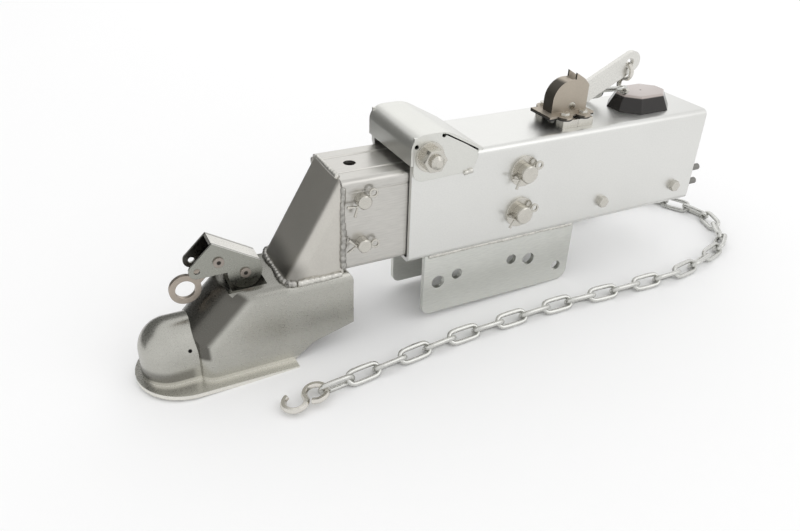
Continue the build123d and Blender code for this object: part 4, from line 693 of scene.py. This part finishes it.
class ACTUATOR_OT_welds(bpy.types.Operator):
    """Lay the weld beads of the neck, the tongue plates and the guard"""

    bl_idname = "actuator.welds"
    bl_label = "Weld beads"

    def execute(self, context):
        colours = context.scene.actuator_finishes
        # Weld metal under plating: bright, with grey clouds about as long as a nugget
        weld = surface("plated_weld_metal", colours.weld, rough=0.34, cloud_mm=7, cloudy=0.26, grainy=0.10,
                       relief_mm=0.15)
        # Weld metal clouded by the heat: bright and dark spots a few millimetres apart
        dull = surface("dull_weld_metal", colours.latch, rough=0.36, cloud_mm=5, cloudy=0.42, grainy=0.10,
                       relief_mm=0.15)
        width = context.scene.actuator_sizes.bead_width / MM
        ripple = context.scene.actuator_sizes.bead_pitch / MM
        thin = width * THIN_BEAD
        low, high = box_mm("neck")
        start, end = box_mm("tongue_plate_left")
        guard_half = box_mm("roller_guard")[1].y
        foot = low.z + FOOT_LIFT
        for side, word, plate_face in (
            (-1, "near", box_mm("tongue_plate_left")[0].y),
            (1, "far", box_mm("tongue_plate_right")[1].y),
        ):
            face = side * (high.y + NECK_PROUD)
            weld_bead(f"neck_side_bead_{word}",
                      [(high.x, face, low.z + SIDE_BEAD_FOOT), (high.x, face, high.z - SIDE_BEAD_HEAD)],
                      width, ripple * LONG_RIPPLE, "slide", dull)
            weld_bead(f"neck_foot_bead_{word}",
                      [(low.x + NECK_CORNER, face, foot), (high.x - FOOT_SHORT, face, foot)],
                      width * WIDE_BEAD, ripple, "slide", weld)
            weld_bead(f"neck_corner_bead_{word}",
                      [(low.x + NECK_CORNER, face, foot),
                       (low.x + NECK_CORNER_CUT, face - side * NECK_CORNER_CUT, foot),
                       (low.x, face - side * NECK_CORNER, foot),
                       (low.x, 0, foot)],
                      width, ripple, "slide", dull)
            weld_bead(f"plate_bead_{word}",
                      [(start.x + PLATE_INSET, plate_face, end.z - PLATE_DROP),
                       (end.x - PLATE_INSET, plate_face, end.z - PLATE_DROP)],
                      thin, ripple, "case", weld)
            tack = [(x, side * guard_half, CASE_TOP - drop)
                    for x, drop in zip(GUARD_TACK_X, GUARD_TACK_DROP)]
            weld_bead(f"guard_tack_{word}", tack, thin, GUARD_TACK_RIPPLE, "case", weld)
        weld_bead("neck_top_bead",
                  [(high.x, -high.y + NECK_CORNER, high.z), (high.x, high.y - NECK_CORNER, high.z)],
                  thin, ripple, "slide", weld)
        return {"FINISHED"}


class ACTUATOR_OT_stage(bpy.types.Operator):
    """Set the floor, the lights, the world and the camera"""

    bl_idname = "actuator.stage"
    bl_label = "Stage"

    def execute(self, context):
        scene = context.scene
        colours = scene.actuator_finishes
        scene.view_settings.view_transform = "Standard"
        self.lay_floor(scene, colours)
        self.hang_lights(scene)
        self.stand_card(scene, colours)
        self.fill_world(scene)
        self.set_camera(scene)
        return {"FINISHED"}

    def lay_sheet(self, scene, name, corners, material):
        """Make a four-cornered sheet and link it to the scene."""
        mesh = bpy.data.meshes.new(name)
        mesh.from_pydata(corners, [], [(0, 1, 2, 3)])
        mesh.materials.append(material)
        sheet = bpy.data.objects.new(name, mesh)
        scene.collection.objects.link(sheet)
        return sheet

    def lay_floor(self, scene, colours):
        """Lay the pale floor under the part."""
        # Painted board: matte and pale
        paint = bpy.data.materials.new("matte_floor_paint")
        paint.use_nodes = True
        shader = paint.node_tree.nodes["Principled BSDF"]
        shader.inputs["Base Color"].default_value = rgba(colours.floor)
        shader.inputs["Roughness"].default_value = FLOOR_ROUGH
        shader.inputs["Specular IOR Level"].default_value = FLOOR_SHEEN
        corners = [FLOOR_MIDDLE + Vector((x, y, FLOOR_SLOPE * x)) * FLOOR_REACH
                   for x, y in ((-1, -1), (1, -1), (1, 1), (-1, 1))]
        self.lay_sheet(scene, "studio_floor", corners, paint)

    def hang_lights(self, scene):
        """Hang two soft boxes that look at the part."""
        for name, heading, size, power in SOFTBOXES:
            lamp = bpy.data.lights.new(name, "AREA")
            lamp.energy = power
            lamp.size = size
            obj = bpy.data.objects.new(name, lamp)
            scene.collection.objects.link(obj)
            obj.location = LIGHT_TARGET + Vector(heading).normalized() * LIGHT_DISTANCE
            obj.rotation_euler = (LIGHT_TARGET - obj.location).to_track_quat("-Z", "Y").to_euler()

    def stand_card(self, scene, colours):
        """Stand a grey card at the front, which gives front faces their shade in reflections."""
        # Wool felt: grey and fully matte
        felt = bpy.data.materials.new("grey_felt")
        felt.use_nodes = True
        shader = felt.node_tree.nodes["Principled BSDF"]
        shader.inputs["Base Color"].default_value = rgba(colours.card)
        shader.inputs["Roughness"].default_value = 1.0
        (left, right), (bottom, top) = CARD_ENDS, CARD_HEIGHTS
        middle = CARD_HEADING * CARD_DISTANCE
        corners = [(*(middle + CARD_ACROSS * x).xy, z)
                   for x, z in ((left, bottom), (right, bottom), (right, top), (left, top))]
        card = self.lay_sheet(scene, "dark_card", corners, felt)
        card.visible_camera = False
        card.visible_shadow = False
        card.visible_diffuse = False

    def fill_world(self, scene):
        """Fill the room with plain soft light, white where it is seen."""
        world = bpy.data.worlds.new("white_room")
        world.use_nodes = True
        scene.world = world
        tree = world.node_tree
        back = tree.nodes["Background"]
        back.inputs["Color"].default_value = (1.0, 1.0, 1.0, 1.0)
        path = node(tree, "ShaderNodeLightPath")
        seen = node(tree, "ShaderNodeMath",
                    {0: path.outputs["Is Camera Ray"], 1: path.outputs["Is Glossy Ray"]},
                    operation="MAXIMUM")
        shown = node(tree, "ShaderNodeMath",
                     {0: seen.outputs["Value"], 1: path.outputs["Is Transmission Ray"]},
                     operation="MAXIMUM")
        level = node(tree, "ShaderNodeMapRange", {"Value": shown.outputs["Value"],
                                                  "To Min": ROOM_FILL, "To Max": 1.0})
        tree.links.new(level.outputs["Result"], back.inputs["Strength"])

    def set_camera(self, scene):
        """Stand the camera where the photograph was taken."""
        camera = bpy.data.cameras.new("photo_camera")
        camera.sensor_width = CAMERA_SENSOR
        camera.lens = CAMERA_LENS
        camera.clip_start = CAMERA_CLIP
        obj = bpy.data.objects.new("photo_camera", camera)
        scene.collection.objects.link(obj)
        turn = Matrix.Rotation(CAMERA_HEADING, 4, "Z") @ Matrix.Rotation(CAMERA_TILT, 4, "X")
        roll = Matrix.Rotation(CAMERA_ROLL, 4, "Z")
        obj.matrix_world = Matrix.Translation(CAMERA_SPOT * MM) @ turn @ roll
        scene.camera = obj


OPERATORS = (ACTUATOR_OT_case, ACTUATOR_OT_slide, ACTUATOR_OT_coupler, ACTUATOR_OT_latch,
             ACTUATOR_OT_fasteners, ACTUATOR_OT_inside, ACTUATOR_OT_cap, ACTUATOR_OT_lever,
             ACTUATOR_OT_chain, ACTUATOR_OT_welds, ACTUATOR_OT_stage)


class ACTUATOR_PT_looks(bpy.types.Panel):
    """Sizes, colours and steps of the actuator's looks"""

    bl_label = "Brake Actuator"
    bl_idname = "ACTUATOR_PT_looks"
    bl_space_type = "VIEW_3D"
    bl_region_type = "UI"
    bl_category = "Actuator"

    def draw(self, context):
        for group in (context.scene.actuator_sizes, context.scene.actuator_finishes):
            for key in group.__annotations__:
                self.layout.prop(group, key)
        for operator in OPERATORS:
            self.layout.operator(operator.bl_idname)


CLASSES = (ActuatorFinishes, ActuatorSizes, *OPERATORS, ACTUATOR_PT_looks)


def register():
    """Register the classes and hang the settings on the scene."""
    for cls in CLASSES:
        bpy.utils.register_class(cls)
    bpy.types.Scene.actuator_finishes = PointerProperty(type=ActuatorFinishes)
    bpy.types.Scene.actuator_sizes = PointerProperty(type=ActuatorSizes)


def unregister():
    """Take the settings and the classes away again."""
    del bpy.types.Scene.actuator_sizes
    del bpy.types.Scene.actuator_finishes
    for cls in reversed(CLASSES):
        bpy.utils.unregister_class(cls)


def main():
    """Register the add-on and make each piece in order."""
    register()
    for operator in OPERATORS:
        group, name = operator.bl_idname.split(".")
        getattr(getattr(bpy.ops, group), name)()


if __name__ == "__main__":
    main()
